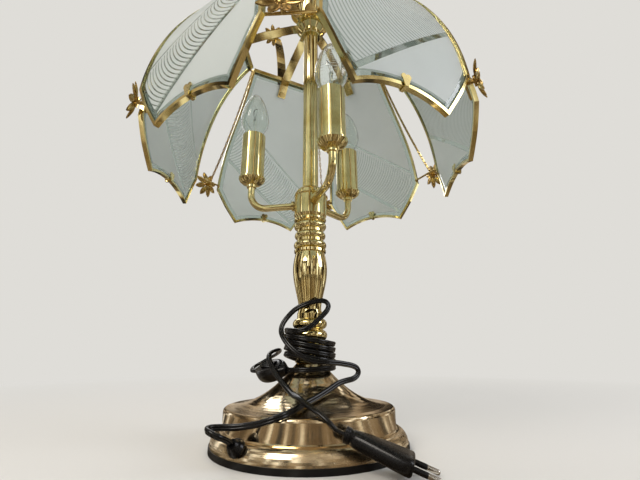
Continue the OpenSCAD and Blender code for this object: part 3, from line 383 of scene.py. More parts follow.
# acid-etched glass: the field scatters light, while the border, two stripes and the arcs stay clear and darker; their
# darker tint is painted shade for the dim inside that shows through clear glass
def etchedGlass():
    mat, tree, shader, coords = newMaterial("acid-etched float glass")
    uv = addNode(tree, "ShaderNodeUVMap", {"uv_map": "panelMm"})
    split = addNode(tree, "ShaderNodeSeparateXYZ", {}, {0: uv.outputs[0]})
    edge = addNode(tree, "ShaderNodeAttribute", {"attribute_name": "edgeMm"})
    q = etching
    a = math.radians(q["slope"])
    middle = (q["bandLow"] + q["bandHigh"]) / 2 * math.cos(a)
    half = (q["bandHigh"] - q["bandLow"]) / 2 * math.cos(a)
    # each step: its name, what it does, and its inputs as numbers or earlier names
    steps = (
        ("rise", "MULTIPLY", "y", math.sin(a)),
        ("along", "MULTIPLY_ADD", "x", math.cos(a), "rise"),
        ("level", "MULTIPLY_ADD", "y", math.cos(a), -middle),
        ("across", "MULTIPLY_ADD", "x", -math.sin(a), "level"),
        ("low", "COMPARE", "across", q["lowLine"] / 2 - half, q["lowLine"] / 2),
        ("high", "COMPARE", "across", half - q["highLine"] / 2, q["highLine"] / 2),
        ("squared", "MULTIPLY", "across", "across"),
        ("left", "SUBTRACT", q["arcRadius"] ** 2, "squared"),
        ("kept", "MAXIMUM", "left", 1.0),
        ("bow", "SQRT", "kept"),
        ("phase", "ADD", "along", "bow"),
        ("wave", "PINGPONG", "phase", q["arcPitch"] / 2),
        ("line", "COMPARE", "wave", 0.0, q["arcLine"] / 2),
        ("within", "COMPARE", "across", q["arcShift"], half - q["arcShort"]),
        ("arcs", "MULTIPLY", "line", "within"),
        ("border", "LESS_THAN", "edge", q["clearBorder"]),
        ("stripes", "MAXIMUM", "low", "high"),
        ("drawn", "MAXIMUM", "stripes", "arcs"),
        ("clearness", "MAXIMUM", "drawn", "border"),
        ("relief", "MULTIPLY", "clearness", -1.0),
    )
    values = {"x": split.outputs[0], "y": split.outputs[1], "edge": edge.outputs["Fac"]}
    for step, operation, *given in steps:
        numbers = {key: value for key, value in enumerate(given) if not isinstance(value, str)}
        names = {key: values[value] for key, value in enumerate(given) if isinstance(value, str)}
        values[step] = addNode(tree, "ShaderNodeMath", {"operation": operation, **numbers}, names).outputs[0]
    clearness = values["clearness"]

    # the acid's grain, 1 mm so that it shows, and clouds 40 mm wide in its tone
    grain = addNode(tree, "ShaderNodeTexNoise", {"Scale": 900.0, "Detail": 2.0}, {"Vector": coords})
    frostRough = addNode(tree, "ShaderNodeMapRange", {"To Min": 0.48, "To Max": 0.62}, {"Value": grain.outputs[0]})
    rough = addNode(tree, "ShaderNodeMix", {"data_type": "FLOAT", 3: 0.02}, {0: clearness, 2: frostRough.outputs[0]})
    tree.links.new(rough.outputs[0], shader.inputs["Roughness"])
    cloud = addNode(tree, "ShaderNodeTexNoise", {"Scale": 25.0, "Detail": 3.0}, {"Vector": coords})
    frost = addNode(tree, "ShaderNodeMix", {"data_type": "RGBA", 6: linear("C6CCCB"), 7: linear("D4D9D8")},
                    {0: cloud.outputs[0]})
    # painted shade: the clear parts take a darker tint than clear glass has, for the dim inside seen through them
    tint = addNode(tree, "ShaderNodeMix", {"data_type": "RGBA", 7: linear("AEBBB4")},
                   {0: clearness, 6: frost.outputs[2]})
    tree.links.new(tint.outputs[2], shader.inputs["Base Color"])
    passing = addNode(tree, "ShaderNodeMapRange", {"To Min": 0.42, "To Max": 0.97}, {"Value": clearness})
    tree.links.new(passing.outputs[0], shader.inputs["Transmission Weight"])
    shader.inputs["IOR"].default_value = 1.5
    bump = addNode(tree, "ShaderNodeBump", {"Strength": 0.15, "Distance": 0.0001}, {"Height": values["relief"]})
    tree.links.new(bump.outputs[0], shader.inputs["Normal"])
    letLightThrough(tree, shader, "DDE2DE", 0.75)
    return mat


panelGlass = etchedGlass()
print("materials made")

cordSettings = {
    "width": 5.2,            # flat twin cable
    "core": 1.65,            # radius of each of its two cores
    "sides": 10,             # points round each core
    "steps": 6,              # points between two of a route's
    "windingStep": 6,        # degrees
    "leadIn": (10.2, 5.2),   # how far before the winding its two straight points lie
    "tailOut": 4.0,          # straight stretches at the switch and at the plug
    "tailIn": 5.0,
}
# the routes in mm, the same as the solids they stand for
feedRoute = [
    (-59.561, -76.235, 18.142), (-62.601, -80.126, 21.551),
    (-67, -85.5, 24.5), (-72, -86, 26.8), (-76.3, -83.4, 28.4), (-77.5, -79, 29), (-74.8, -75.2, 29.2),
    (-70, -73.6, 29.1), (-64, -73.2, 29), (-58, -73.5, 29), (-50, -75, 30), (-42, -78, 31.5), (-34, -81.3, 33.8),
    (-27, -82.5, 36), (-20.5, -79.5, 38), (-14, -71, 39.6), (-5, -59, 43), (6, -49, 47.2), (17, -39, 52.3),
    (26, -31, 56.8), (34, -24, 58.6), (40.5, -17.8, 59.6), (45.3, -13.6, 62.2), (47, -12.2, 65.9), (45, -13.2, 69.5),
    (40, -15.8, 71.7), (33.5, -19.2, 73), (26, -23.4, 74.2), (16, -28.5, 75), (5, -31.5, 76), (-4, -33, 78.6),
    (-12, -32, 83.5), (-19.5, -28.5, 90), (-25, -23.5, 96.8), (-28, -18.5, 103.5), (-27, -15.5, 110.5),
    (-22, -14.5, 118), (-14.5, -16.5, 125), (-5, -18, 129.8), (3.5, -17.8, 132.4), (10.5, -16.4, 133.7),
    (15.8, -15, 132.8), (18.5, -14.5, 129.2), (17.3, -16, 124.6), (13.8, -18.4, 120.2), (8.8, -20.8, 115.2),
    (3, -23.4, 109.8), (-4, -25.5, 105.2)]
tailRoute = [
    (-60.5, 27, 66), (-60.5, 33, 68.3), (-55, 36.5, 72), (-46, 34.5, 76.8), (-37.5, 27.5, 81), (-32.5, 18.5, 84.2),
    (-31.5, 9.5, 85.8), (-32.5, 2, 86.2), (-35.5, -4, 85.5), (-38.8, -8.5, 83.3), (-39.8, -13, 79.8),
    (-38, -17.5, 75.3), (-34.7, -22.5, 69.8), (-28.8, -31, 62.3), (-21, -42, 54.9), (-15.2, -52, 50.3),
    (-9.5, -62, 48.2), (-5.5, -68, 46), (-1.5, -72.5, 43.6), (3, -77, 41), (8, -81, 38.5), (13.5, -84.8, 34.2)]
# places where the wide side of the cord faces the camera
leadFaces = [(-25, -23.5, 96.8), (16, -28.5, 75), (34, -24, 58.6), (-34, -81.3, 33.8), (-64, -73.2, 29)]
tailFaces = [(-28.8, -31, 62.3)]
windShape = {
    "radius": 24.5, "pitch": 5.5, "start": -140.0, "sweep": 1795.0, "low": 67.6, "lead": 6.0,
    "lean": 0.22,
    "leanFrom": 100.0, "leanOver": 260.0,    # degrees before the end where it starts, and degrees it takes
}
switch = {
    "length": 46.0, "width": 26.0, "thick": 14.4,
    "across": (-0.5495, -0.5799, -0.6014),    # the way its width points
    "neck": 3.4, "rim": 3.8,                  # half width and half thickness at its ends
    "blend": 4.0,                             # width over which the round neck becomes the lens
    "neckThinner": 0.4, "square": 1.4,        # what the lens adds to the neck's thickness and squareness
    "rockerLong": 17.0, "rockerWide": 9.0, "rockerGap": 0.4, "pocket": 6.2,
}
plug = {
    "start": (24.5, -87, 26.5), "along": (0.905, -0.255, -0.341),
    "pinOut": 9.5,                            # each pin's distance from the middle
    "rings": 3, "ringStart": 1.9, "ringStep": 1.35, "ringRadius": 5.65, "ringWire": 0.55,
}


# a point of the winding; all but its last turn lean down to the right
def windPoint(a):
    q = windShape
    b = math.radians(q["start"] - a)
    t = min(1.0, max(0.0, (q["sweep"] - a - q["leanFrom"]) / q["leanOver"]))
    lean = q["lean"] * t * t * (3 - 2 * t) * q["radius"] * (1 - math.cos(b))
    return Vector((q["radius"] * math.cos(b), q["radius"] * math.sin(b),
                   q["low"] + q["pitch"] * (q["sweep"] - a) / 360 + lean))


def windDirection(a):
    return (windPoint(a + 1) - windPoint(a - 1)).normalized()


# smooth points between the chosen ones, with straight first and last stretches
def eased(route, steps):
    route = [Vector(p) for p in route]
    last = len(route) - 2
    points = []
    for i in range(len(route) - 1):
        a, b, c, d = route[max(i - 1, 0)], route[i], route[i + 1], route[min(i + 2, len(route) - 1)]
        for k in range(1 if i in (0, last) else steps):
            t = k / steps
            points.append(0.5 * (2 * b + (c - a) * t + (2 * a - 5 * b + 4 * c - d) * t * t
                                 + (3 * b - a - 3 * c + d) * t ** 3))
    return points + [route[-1]]


def lengthOf(points):
    return sum((b - a).length for a, b in zip(points, points[1:]))


# flat twin section swept along points; guides give the wide side's way at some of them, the first at 0
def flatCord(name, points, guides):
    core, sides = cordSettings["core"] * 0.001, cordSettings["sides"]
    apart = cordSettings["width"] * 0.0005 - core
    points = [p * 0.001 for p in points]
    tangents = tangentsOf(points)
    way = guides[0][1]
    wide = [(way - way.dot(tangents[0]) * tangents[0]).normalized()]
    for t in tangents[1:]:
        wide.append((wide[-1] - wide[-1].dot(t) * t).normalized())
    twists, known = [0.0] * len(points), 0.0
    for (i, _), (j, way) in zip(guides, guides[1:]):
        wanted = (way - way.dot(tangents[j]) * tangents[j]).normalized()
        more = math.atan2(wide[j].cross(wanted).dot(tangents[j]), wide[j].dot(wanted)) - known
        more = (more + math.pi / 2) % math.pi - math.pi / 2
        for k in range(i, len(points)):
            twists[k] = known + more * min(1.0, (k - i) / (j - i))
        known += more
    spread = math.acos(-apart / core)
    outline = []
    for side in (1, -1):
        for k in range(sides):
            angle = -spread + 2 * spread * k / (sides - 1)
            outline.append((side * (apart + core * math.cos(angle)), side * core * math.sin(angle)))
    rings = []
    for p, t, w, twist in zip(points, tangents, wide, twists):
        w = Matrix.Rotation(twist, 3, t) @ w
        n = t.cross(w)
        rings += [p + x * w + y * n for x, y in outline]
    return meshPiece(name, (rings, ringFaces(len(points), len(outline))), cablePvc, 75), points


# guides that turn the wide side to the camera near some places, between given ends
def facing(points, places, first, last=None):
    guides = [(0, first)]
    eye = Vector(cameraPlace["position"]) * 1000
    for place in places:
        i = min(range(len(points)), key=lambda k: (points[k] - Vector(place)).length)
        guides.append((i, (points[i + 1] - points[i - 1]).cross(points[i] - eye).normalized()))
    if last:
        guides.append((len(points) - 1, last))
    return guides


up = Vector((0, 0, 1))
leadIn = [tuple(windPoint(0) - far * windDirection(0)) for far in cordSettings["leadIn"]]
feedPoints = eased(feedRoute + leadIn, cordSettings["steps"])
# the even steps stop 8 degrees short, so that they don't crowd the last point
turns = [windPoint(a) for a in range(0, int(windShape["sweep"]) - 8, cordSettings["windingStep"])]
switchAlong = windDirection(windShape["sweep"])
windEnd = windPoint(windShape["sweep"]) + windShape["lead"] * switchAlong
# the wide side lies along the stem in the winding, so the sweep starts there and runs back to the grommet
woundBack = list(reversed(feedPoints + turns + [windPoint(windShape["sweep"]), windEnd]))
leadCord, leadPath = flatCord("leadCord", woundBack, facing(woundBack, leadFaces, up))
leadPath = list(reversed(leadPath))
switchAcross = Vector(switch["across"]).normalized()
switchNormal = switchAlong.cross(switchAcross).normalized()
if switchNormal.z < 0:
    switchNormal = -switchNormal
switchFar = windEnd + switch["length"] * switchAlong
plugStart = Vector(plug["start"])
plugAlong = Vector(plug["along"]).normalized()
plugAcross = up.cross(plugAlong).normalized()
tailPoints = eased([switchFar, switchFar + cordSettings["tailOut"] * switchAlong] + tailRoute
                   + [plugStart - cordSettings["tailIn"] * plugAlong, plugStart], cordSettings["steps"])
tailCord, tailPath = flatCord("tailCord", tailPoints, facing(tailPoints, tailFaces, switchAcross, plugAcross))
print("cord lengths", round(lengthOf(leadPath), 4), round(lengthOf(tailPath), 4))


# rings along X, each (x, half width, half thickness, squareness), where a squareness of 2 is an ellipse
def softLoft(sections, sides=48):
    points = []
    for x, wide, thick, square in sections:
        for k in range(sides):
            a = 2 * math.pi * k / sides
            c, s = math.cos(a), math.sin(a)
            points.append((x, wide * math.copysign(abs(c) ** (2 / square), c),
                           thick * math.copysign(abs(s) ** (2 / square), s)))
    return points, ringFaces(len(sections), sides)


def cutBy(piece, shape):
    tool = meshPiece("cutter", shape, mouldedAbs, 0)
    cut = piece.modifiers.new("pocket", "BOOLEAN")
    cut.object = tool
    cut.operation = "DIFFERENCE"
    cut.solver = "EXACT"
    done = bpy.data.meshes.new_from_object(piece.evaluated_get(bpy.context.evaluated_depsgraph_get()))
    piece.modifiers.clear()
    piece.data = done
    bpy.data.objects.remove(tool)


def boxShape(low, high):
    points = [(x, y, z) for x in (low[0], high[0]) for y in (low[1], high[1]) for z in (low[2], high[2])]
    return points, [[0, 1, 3, 2], [4, 6, 7, 5], [0, 4, 5, 1], [2, 3, 7, 6], [0, 2, 6, 4], [1, 5, 7, 3]]


halfLong, halfWide, halfThick = switch["length"] / 2, switch["width"] / 2, switch["thick"] / 2
wideArc = arcRadius(halfLong, halfWide)
thickArc = arcRadius(halfLong, halfThick - switch["rim"])
switchSections = []
for k in range(41):
    x = switch["length"] * k / 40
    off = x - halfLong
    wide = math.sqrt(wideArc ** 2 - off ** 2) - wideArc + halfWide
    thick = halfThick - thickArc + math.sqrt(thickArc ** 2 - off ** 2)
    lens = min(1.0, max(0.0, (wide - switch["neck"]) / switch["blend"]))
    switchSections.append((x, max(wide, switch["neck"]), thick - switch["neckThinner"] * (1 - lens),
                           2 + switch["square"] * lens))
switchPlace = frameMatrix(windEnd * 0.001, switchAlong, switchNormal.cross(switchAlong), switchNormal) @ scale
switchShell = meshPiece("switchShell", moved(softLoft(switchSections), switchPlace), mouldedAbs, 40)
pocketLong = switch["rockerLong"] / 2 + switch["rockerGap"]
pocketWide = switch["rockerWide"] / 2 + switch["rockerGap"]
pocket = boxShape((halfLong - pocketLong, -pocketWide, halfThick - switch["pocket"]),
                  (halfLong + pocketLong, pocketWide, halfThick + 4))    # 4 mm clear of the face
cutBy(switchShell, moved(pocket, switchPlace))
placeOn(switchShell, "stand", "black_plastic", "switch_body")

# x, half width, half thickness, squareness
plugSections = [
    (0, 3.2, 3.2, 2.0), (0.7, 4.6, 4.6, 2.0), (1.6, 5.8, 5.8, 2.0), (4.8, 5.8, 5.8, 2.0), (5.6, 5.4, 5.4, 2.0),
    (6.4, 5.3, 5.2, 2.1), (7.6, 6.3, 5.7, 2.2), (10, 7.4, 6.1, 2.3), (16, 9.0, 6.5, 2.5), (26, 11.6, 6.7, 2.7),
    (36, 14.1, 6.75, 3.0), (42, 15.4, 6.75, 3.2), (47, 15.9, 6.75, 3.4), (50.4, 15.7, 6.6, 3.6),
    (51.4, 14.9, 6.2, 3.6), (52, 14.2, 5.4, 3.6)]
# radius, distance beyond the plug's face
sleeveProfile = [(0, -1), (2.05, -1), (2.05, 9.6), (1.9, 10), (0, 10)]
pinProfile = [(0, 9.8), (1.9, 9.8), (1.9, 17.6), (1.5, 18.6), (0.8, 19), (0, 19)]


# a Geometry Nodes tree with named inputs, each with its kind and what it starts as
def newTree(name, inputs):
    tree = bpy.data.node_groups.new(name, "GeometryNodeTree")
    for label, kind, start in inputs:
        socket = tree.interface.new_socket(label, in_out="INPUT", socket_type="NodeSocket" + kind)
        if start is not None:
            socket.default_value = start
    tree.interface.new_socket("Geometry", in_out="OUTPUT", socket_type="NodeSocketGeometry")
    return tree, addNode(tree, "NodeGroupInput").outputs


# the end of a tree: its Shape copied onto points, turned, made real and given its Material
def copyOnto(tree, given, points, rotation):
    info = addNode(tree, "GeometryNodeObjectInfo", {}, {"Object": given["Shape"]})
    copies = addNode(tree, "GeometryNodeInstanceOnPoints", {},
                     {"Points": points, "Instance": info.outputs["Geometry"], "Rotation": rotation})
    whole = addNode(tree, "GeometryNodeRealizeInstances", {}, {0: copies.outputs[0]})
    coloured = addNode(tree, "GeometryNodeSetMaterial", {},
                       {"Geometry": whole.outputs[0], "Material": given["Material"]})
    addNode(tree, "NodeGroupOutput", {}, {0: coloured.outputs[0]})


# one small shape in a row or, turned by Fan each time, in a ring
def rowTree():
    tree, given = newTree("row of copies", (
        ("Shape", "Object", None), ("Material", "Material", None), ("Count", "Int", 8),
        ("Start", "Vector", (0, 0, 0)), ("Step", "Vector", (0, 0, 0)), ("Fan", "Float", 0.0)))
    line = addNode(tree, "GeometryNodeMeshLine", {"mode": "OFFSET"},
                   {"Count": given["Count"], "Start Location": given["Start"], "Offset": given["Step"]})
    index = addNode(tree, "GeometryNodeInputIndex").outputs[0]
    fan = addNode(tree, "ShaderNodeMath", {"operation": "MULTIPLY"}, {0: index, 1: given["Fan"]})
    angle = addNode(tree, "ShaderNodeCombineXYZ", {}, {2: fan.outputs[0]})
    copyOnto(tree, given, line.outputs[0], angle.outputs[0])
    return tree


# what a tree makes of a shape, again as a shape in mm; base is the mesh that the tree starts from
def grown(tree, shape, mat, values, base=None):
    copied = meshPiece("copied", moved(shape, scale), mat, 0)
    values = {"Shape": copied, "Material": mat, **values}
    holder = bpy.data.objects.new("holder", base or bpy.data.meshes.new("holder"))
    bpy.context.scene.collection.objects.link(holder)
    modifier = holder.modifiers.new("grow", "NODES")
    modifier.node_group = tree
    for item in tree.interface.items_tree:
        if item.in_out == "INPUT" and item.name in values:
            modifier[item.identifier] = values[item.name]
    mesh = bpy.data.meshes.new_from_object(holder.evaluated_get(bpy.context.evaluated_depsgraph_get()))
    made = [v.co * 1000 for v in mesh.vertices], [list(p.vertices) for p in mesh.polygons]
    holder.modifiers.clear()
    for helper in (holder, copied):
        bpy.data.objects.remove(helper)
    return made


def torusShape(radius, wire, sides=24, around=8):
    points = []
    for i in range(sides):
        a = 2 * math.pi * i / sides
        for k in range(around):
            b = 2 * math.pi * k / around
            r = radius + wire * math.cos(b)
            points.append((wire * math.sin(b), r * math.cos(a), r * math.sin(a)))
    return points, loopFaces(sides, around)


# both pins or both sleeves of the plug
def pinPair(profile):
    shape = turned(profile, 24)
    face = plugSections[-1][0]
    return [moved(shape, shift(face, side * plug["pinOut"], 0) @ turn(90, "Y")) for side in (-1, 1)]


rowOfCopies = rowTree()
collarRings = grown(rowOfCopies, torusShape(plug["ringRadius"], plug["ringWire"]), mouldedAbs,
                    {"Count": plug["rings"], "Start": (plug["ringStart"] * 0.001, 0, 0),
                     "Step": (plug["ringStep"] * 0.001, 0, 0)})
plugPlace = frameMatrix(plugStart * 0.001, plugAlong, plugAcross, plugAlong.cross(plugAcross)) @ scale
plugBody = joined([softLoft(plugSections, 56), collarRings] + pinPair(sleeveProfile))
plugShell = meshPiece("plugShell", moved(plugBody, plugPlace), mouldedAbs, 40)
plugPins = meshPiece("plugPins", moved(joined(pinPair(pinProfile)), plugPlace), platedNickel, 40)
placeOn(plugShell, "stand", "black_plastic", "plug")
placeOn(plugPins, "stand", "zinc_steel", "plug")

placeOn(leadCord, "stand", "black_cable", "cord_feed", "cord_winding")
placeOn(tailCord, "stand", "black_cable", "cord_tail")
print("cords, switch and plug made")

panelShape = {
    "count": 6,
    "turn": -65.0,           # the first panel's bearing
    "centreX": -82.3,        # centre and radius of the bow
    "centreZ": 303.0,
    "radius": 254.0,
    "top": 485.0, "wide": 318.0, "low": 269.0,
    "topHalf": 50.0, "wideHalf": 75.0, "lowHalf": 45.0,
    "bow": 0.075,            # how far the upper sides leave a straight line
    "kneeOut": 1.2,          # how far the lower sides bend out half way
    "arch": 10.5,
    "inset": 0.8, "insetLow": 1.1,
    "slant": 1.06,           # the sides lean, so their inset is a little wider
    "depth": 0.8, "thick": 3.0,
    "bevel": 1.3,            # how much thinner the clear border's rim is
}
panelStep = 360 / panelShape["count"]


# how far round the bow a height lies, in radians
def bowAngle(z):
    return math.asin((z - panelShape["centreZ"]) / panelShape["radius"])


def sideHalf(z):
    q = panelShape
    if z >= q["wide"]:
        t = (bowAngle(q["top"]) - bowAngle(z)) / (bowAngle(q["top"]) - bowAngle(q["wide"]))
        return q["topHalf"] + (q["wideHalf"] - q["topHalf"]) * (t - q["bow"] * math.sin(2 * math.pi * t))
    knee = (q["wide"] + q["low"]) / 2
    kneeHalf = (q["wideHalf"] + q["lowHalf"]) / 2 + q["kneeOut"]
    if z >= knee:
        return kneeHalf + (q["wideHalf"] - kneeHalf) * (z - knee) / (q["wide"] - knee)
    return q["lowHalf"] + (kneeHalf - q["lowHalf"]) * (z - q["low"]) / (knee - q["low"])


# rows of (across, height, distance from the rim), closest where the border meets the frosted field
def panelGrid():
    q = panelShape
    acrossCount, upCount = 24, 44
    tall = q["top"] - q["low"]
    archRadius = arcRadius(q["lowHalf"], q["arch"])
    border = etching["clearBorder"]
    edgeSteps = [0, border / 3, 2 * border / 3, border - 0.05, border + 0.25]
    field = edgeSteps[-1]
    rows = edgeSteps + [field + (tall - 2 * field) * k / upCount for k in range(1, upCount)]
    rows += [tall - e - q["inset"] - q["insetLow"] for e in reversed(edgeSteps)]
    grid = []
    for row in rows:
        level = q["low"] + q["insetLow"] + row
        half = sideHalf(level) - q["inset"] * q["slant"]
        inner = half - field
        columns = [-half + e for e in edgeSteps]
        columns += [-inner + 2 * inner * k / acrossCount for k in range(1, acrossCount)]
        columns += [half - e for e in reversed(edgeSteps)]
        fade = max(0.0, 1 - row / tall)
        line = []
        for x in columns:
            arch = math.sqrt(archRadius ** 2 - (x * q["lowHalf"] / max(half, 1)) ** 2) - archRadius + q["arch"]
            gap = min(half - abs(x), row, q["top"] - q["inset"] - level)
            line.append((x, level + max(arch, 0) * fade ** 2, max(gap, 0.0)))
        grid.append(line)
    return grid


def panelPiece(number, grid):
    q = panelShape
    points, uvs, edges = [], [], []
    for inside in (False, True):
        for x, z, gap in (spot for line in grid for spot in line):
            rim = q["bevel"] * max(0.0, 1 - gap / etching["clearBorder"])
            r = q["radius"] - (q["depth"] + (q["thick"] if inside else rim))
            points.append((q["centreX"] + math.sqrt(r ** 2 - (z - q["centreZ"]) ** 2), x, z))
            uvs.append((x, q["radius"] * bowAngle(z)))
            edges.append(gap)
    place = turn(q["turn"] + panelStep * (number - 1)) @ scale
    shape = points, sheetFaces(len(grid), len(grid[0]))
    panel = meshPiece("glassPanel%d" % number, moved(shape, place), panelGlass, 50)
    layer = panel.data.uv_layers.new(name="panelMm")
    for loop in panel.data.loops:
        layer.data[loop.index].uv = uvs[loop.vertex_index]
    near = panel.data.attributes.new("edgeMm", "FLOAT", "POINT")
    near.data.foreach_set("value", edges)
    placeOn(panel, "shade", "frosted_glass", "glass_panel_%d" % number)


onePanel = panelGrid()
for number in range(1, panelShape["count"] + 1):
    panelPiece(number, onePanel)
print("panels made")

rosetteShape = {
    "sideRadius": 20.0, "topRadius": 19.0,
    "petals": 8, "dish": 16.0,                # degrees that they rise
    "halfWide": 0.19, "halfLong": 0.4, "centre": 0.58,    # of a petal, as shares of the radius
    "thick": 0.9, "curl": 1.5, "lift": 1.1, "rib": 0.35, "ribs": 3,
    "beads": 12, "beadRing": 0.205, "beadHeight": 1.95,
}


# one petal along X: pointed at both ends, edges curled up, ribs along it
def petalShape(radius):
    q = rosetteShape
    lengthways, crossways = 9, 12
    wide, long = q["halfWide"] * radius, q["halfLong"] * radius
    arc = arcRadius(long, wide)
    points = []
    for under in (1, 0):
        for i in range(lengthways + 1):
            x = long * (-1 + 2 * i / lengthways)
            half = max(math.sqrt(arc ** 2 - x ** 2) - arc + wide, 0.02)
            for k in range(crossways + 1):
                v = -1 + 2 * k / crossways
                rib = q["rib"] * math.cos(q["ribs"] * math.pi * v) * math.cos(math.pi * x / long / 2)
                z = q["curl"] * v * v * half / wide + rib + q["lift"] * (x / long) ** 2 - q["thick"] * under
                points.append((q["centre"] * radius + x, v * half, z))
    return points, sheetFaces(lengthways + 1, crossways + 1)


def rosetteFor(radius):
    q = rosetteShape
    petals = grown(rowOfCopies, moved(petalShape(radius), turn(-q["dish"], "Y")), stampedBrass,
                   {"Count": q["petals"], "Fan": 2 * math.pi / q["petals"]})
    boss = turned([(0, -0.6), (0.26 * radius, -0.6), (0.27 * radius, 0.9), (0.24 * radius, 1.7), (0.17 * radius, 1.9),
                   (0.15 * radius, 1.6), (0.13 * radius, 2.4), (0.09 * radius, 2.95), (0, 3.05)], 32)
    bead = turned([(0, -0.55), (0.45, -0.3), (0.55, 0), (0.45, 0.35), (0, 0.55)], 8)
    beads = [moved(bead, turn(360 / q["beads"] * k) @ shift(q["beadRing"] * radius, 0, q["beadHeight"]))
             for k in range(q["beads"])]
    return joined([moved(petals, turn(180 / q["petals"])), boss] + beads)


def rodShape(radius, long, sides=24):
    return turned([(0, -long / 2), (radius, -long / 2), (radius, long / 2), (0, long / 2)], sides)


gapTurn = panelShape["turn"] + panelStep / 2    # the first gap's bearing
gapBars = {
    "x": 179.05, "z": 322.0, "half": 19.5, "radius": 1.3,
    "studRadius": 1.8,
    "rosetteX": 187.05, "shift": 6.0, "tilt": 84.0,
}
ribbonTips = {"place": (138.6, 6, 610.7), "tilt": 28.0, "seat": (0.6, 0, 0.7)}
sideRosette, topRosette = rosetteFor(rosetteShape["sideRadius"]), rosetteFor(rosetteShape["topRadius"])
sideParts, topParts = [], []
for k in range(panelShape["count"]):
    g = gapBars
    place = turn(gapTurn + panelStep * k)
    middle = (g["x"] + g["rosetteX"]) / 2
    sideParts += [
        moved(rodShape(g["radius"], 2 * g["half"]), place @ shift(g["x"], 0, g["z"]) @ turn(90, "X")),
        moved(rodShape(g["studRadius"], g["rosetteX"] - g["x"]),
              place @ shift(middle, -g["shift"], g["z"]) @ turn(90, "Y")),
        moved(sideRosette, place @ shift(g["rosetteX"], -g["shift"], g["z"]) @ turn(g["tilt"], "Y")),
    ]
    tip = turn(panelShape["turn"] + panelStep * k) @ shift(*ribbonTips["place"]) @ turn(ribbonTips["tilt"], "Y")
    topParts.append(moved(topRosette, tip @ shift(*ribbonTips["seat"])))
for name, parts, node in (("sideRosettes", sideParts, "side_rosettes"),
                          ("topRosettes", topParts, "top_rosettes")):
    placeOn(meshPiece(name, moved(joined(parts), scale), stampedBrass, 35), "shade", "rosette_brass", node)
print("rosettes made")

chainShape = {
    "long": 6.4, "wide": 3.5, "wire": 0.7, "pitch": 4.6,
    "barX": 104.4, "barZ": 479.0, "barHalf": 4.25, "barRadius": 1.1,
    "foot": (184.05, -6.0, 325.0), "sagIn": 10.0, "sagDown": 20.0, "steps": 24,
}


# a shape along a line, every other one turned a quarter
def chainTree():
    tree, given = newTree("hanging chain", (
        ("Geometry", "Geometry", None), ("Shape", "Object", None), ("Material", "Material", None),
        ("Pitch", "Float", 0.005)))
    line = addNode(tree, "GeometryNodeMeshToCurve", {}, {"Mesh": given["Geometry"]})
    points = addNode(tree, "GeometryNodeCurveToPoints", {"mode": "LENGTH"},
                     {"Curve": line.outputs[0], "Length": given["Pitch"]})
    index = addNode(tree, "GeometryNodeInputIndex").outputs[0]
    angle = addNode(tree, "ShaderNodeMath", {"operation": "MULTIPLY", 1: math.pi / 2}, {0: index})
    roll = addNode(tree, "FunctionNodeAxisAngleToRotation", {"Axis": (0, 0, 1)}, {"Angle": angle.outputs[0]})
    turnedBy = addNode(tree, "FunctionNodeRotateRotation", {"rotation_space": "LOCAL"},
                       {"Rotation": points.outputs["Rotation"], "Rotate By": roll.outputs[0]})
    copyOnto(tree, given, points.outputs["Points"], turnedBy.outputs[0])
    return tree


# an oval link along Z
def linkShape():
    q = chainShape
    r = q["wide"] / 2 - q["wire"]
    straight = q["long"] / 2 - q["wide"] / 2
    around, sides = 12, 4
    points = []
    for i in range(around):
        a = 2 * math.pi * (i + 0.5) / around
        centre = Vector((r * math.cos(a), 0, r * math.sin(a) + math.copysign(straight, math.sin(a))))
        out = Vector((math.cos(a), 0, math.sin(a)))
        for k in range(sides):
            b = 2 * math.pi * (k + 0.5) / sides
            points.append(centre + q["wire"] * (math.cos(b) * out + math.sin(b) * Vector((0, 1, 0))))
    return points, loopFaces(around, sides)


# where a chain hangs, from its bar's end at t = 0 to its rosette at t = 1
def chainPoint(t):
    q = chainShape
    footX, footY, footZ = q["foot"]
    slack = t * (1 - t)
    return Vector((q["barX"] + (footX - q["barX"]) * t - q["sagIn"] * slack, footY * t,
                   q["barZ"] + (footZ - q["barZ"]) * t - q["sagDown"] * slack))


growChain = chainTree()
chainParts = []
for k in range(panelShape["count"]):
    q = chainShape
    place = turn(gapTurn + panelStep * k)
    bar = rodShape(q["barRadius"], 2 * q["barHalf"])
    chainParts.append(moved(bar, place @ shift(q["barX"], 0, q["barZ"]) @ turn(90, "X")))
    route = [place @ chainPoint(i / q["steps"]) * 0.001 for i in range(q["steps"] + 1)]
    line = bpy.data.meshes.new("chainLine")
    line.from_pydata([tuple(p) for p in route], [(i, i + 1) for i in range(q["steps"])], [])
    chainParts.append(grown(growChain, linkShape(), stampedBrass, {"Pitch": q["pitch"] * 0.001}, line))
cornerChains = meshPiece("cornerChains", moved(joined(chainParts), scale), stampedBrass, 60)
placeOn(cornerChains, "shade", "rosette_brass", "corner_chains")
print("chains made", len(cornerChains.data.vertices))

bulbShape = {
    "z": 342.0,              # top of its cap
    "turn": 40.0,            # how much further each is screwed in than the one before
    "filamentZ": 36.0, "filamentHalf": 6.5,
    "coilTurns": 30, "coilRadius": 0.42, "coilOut": 1.8, "coilUp": 1.2,
    "supportWire": 0.22, "anchorWire": 0.16, "coilWire": 0.09,
}
bulbSpots = [(21.05, -68.85), (49.10, 52.66), (-70.15, 16.20)]
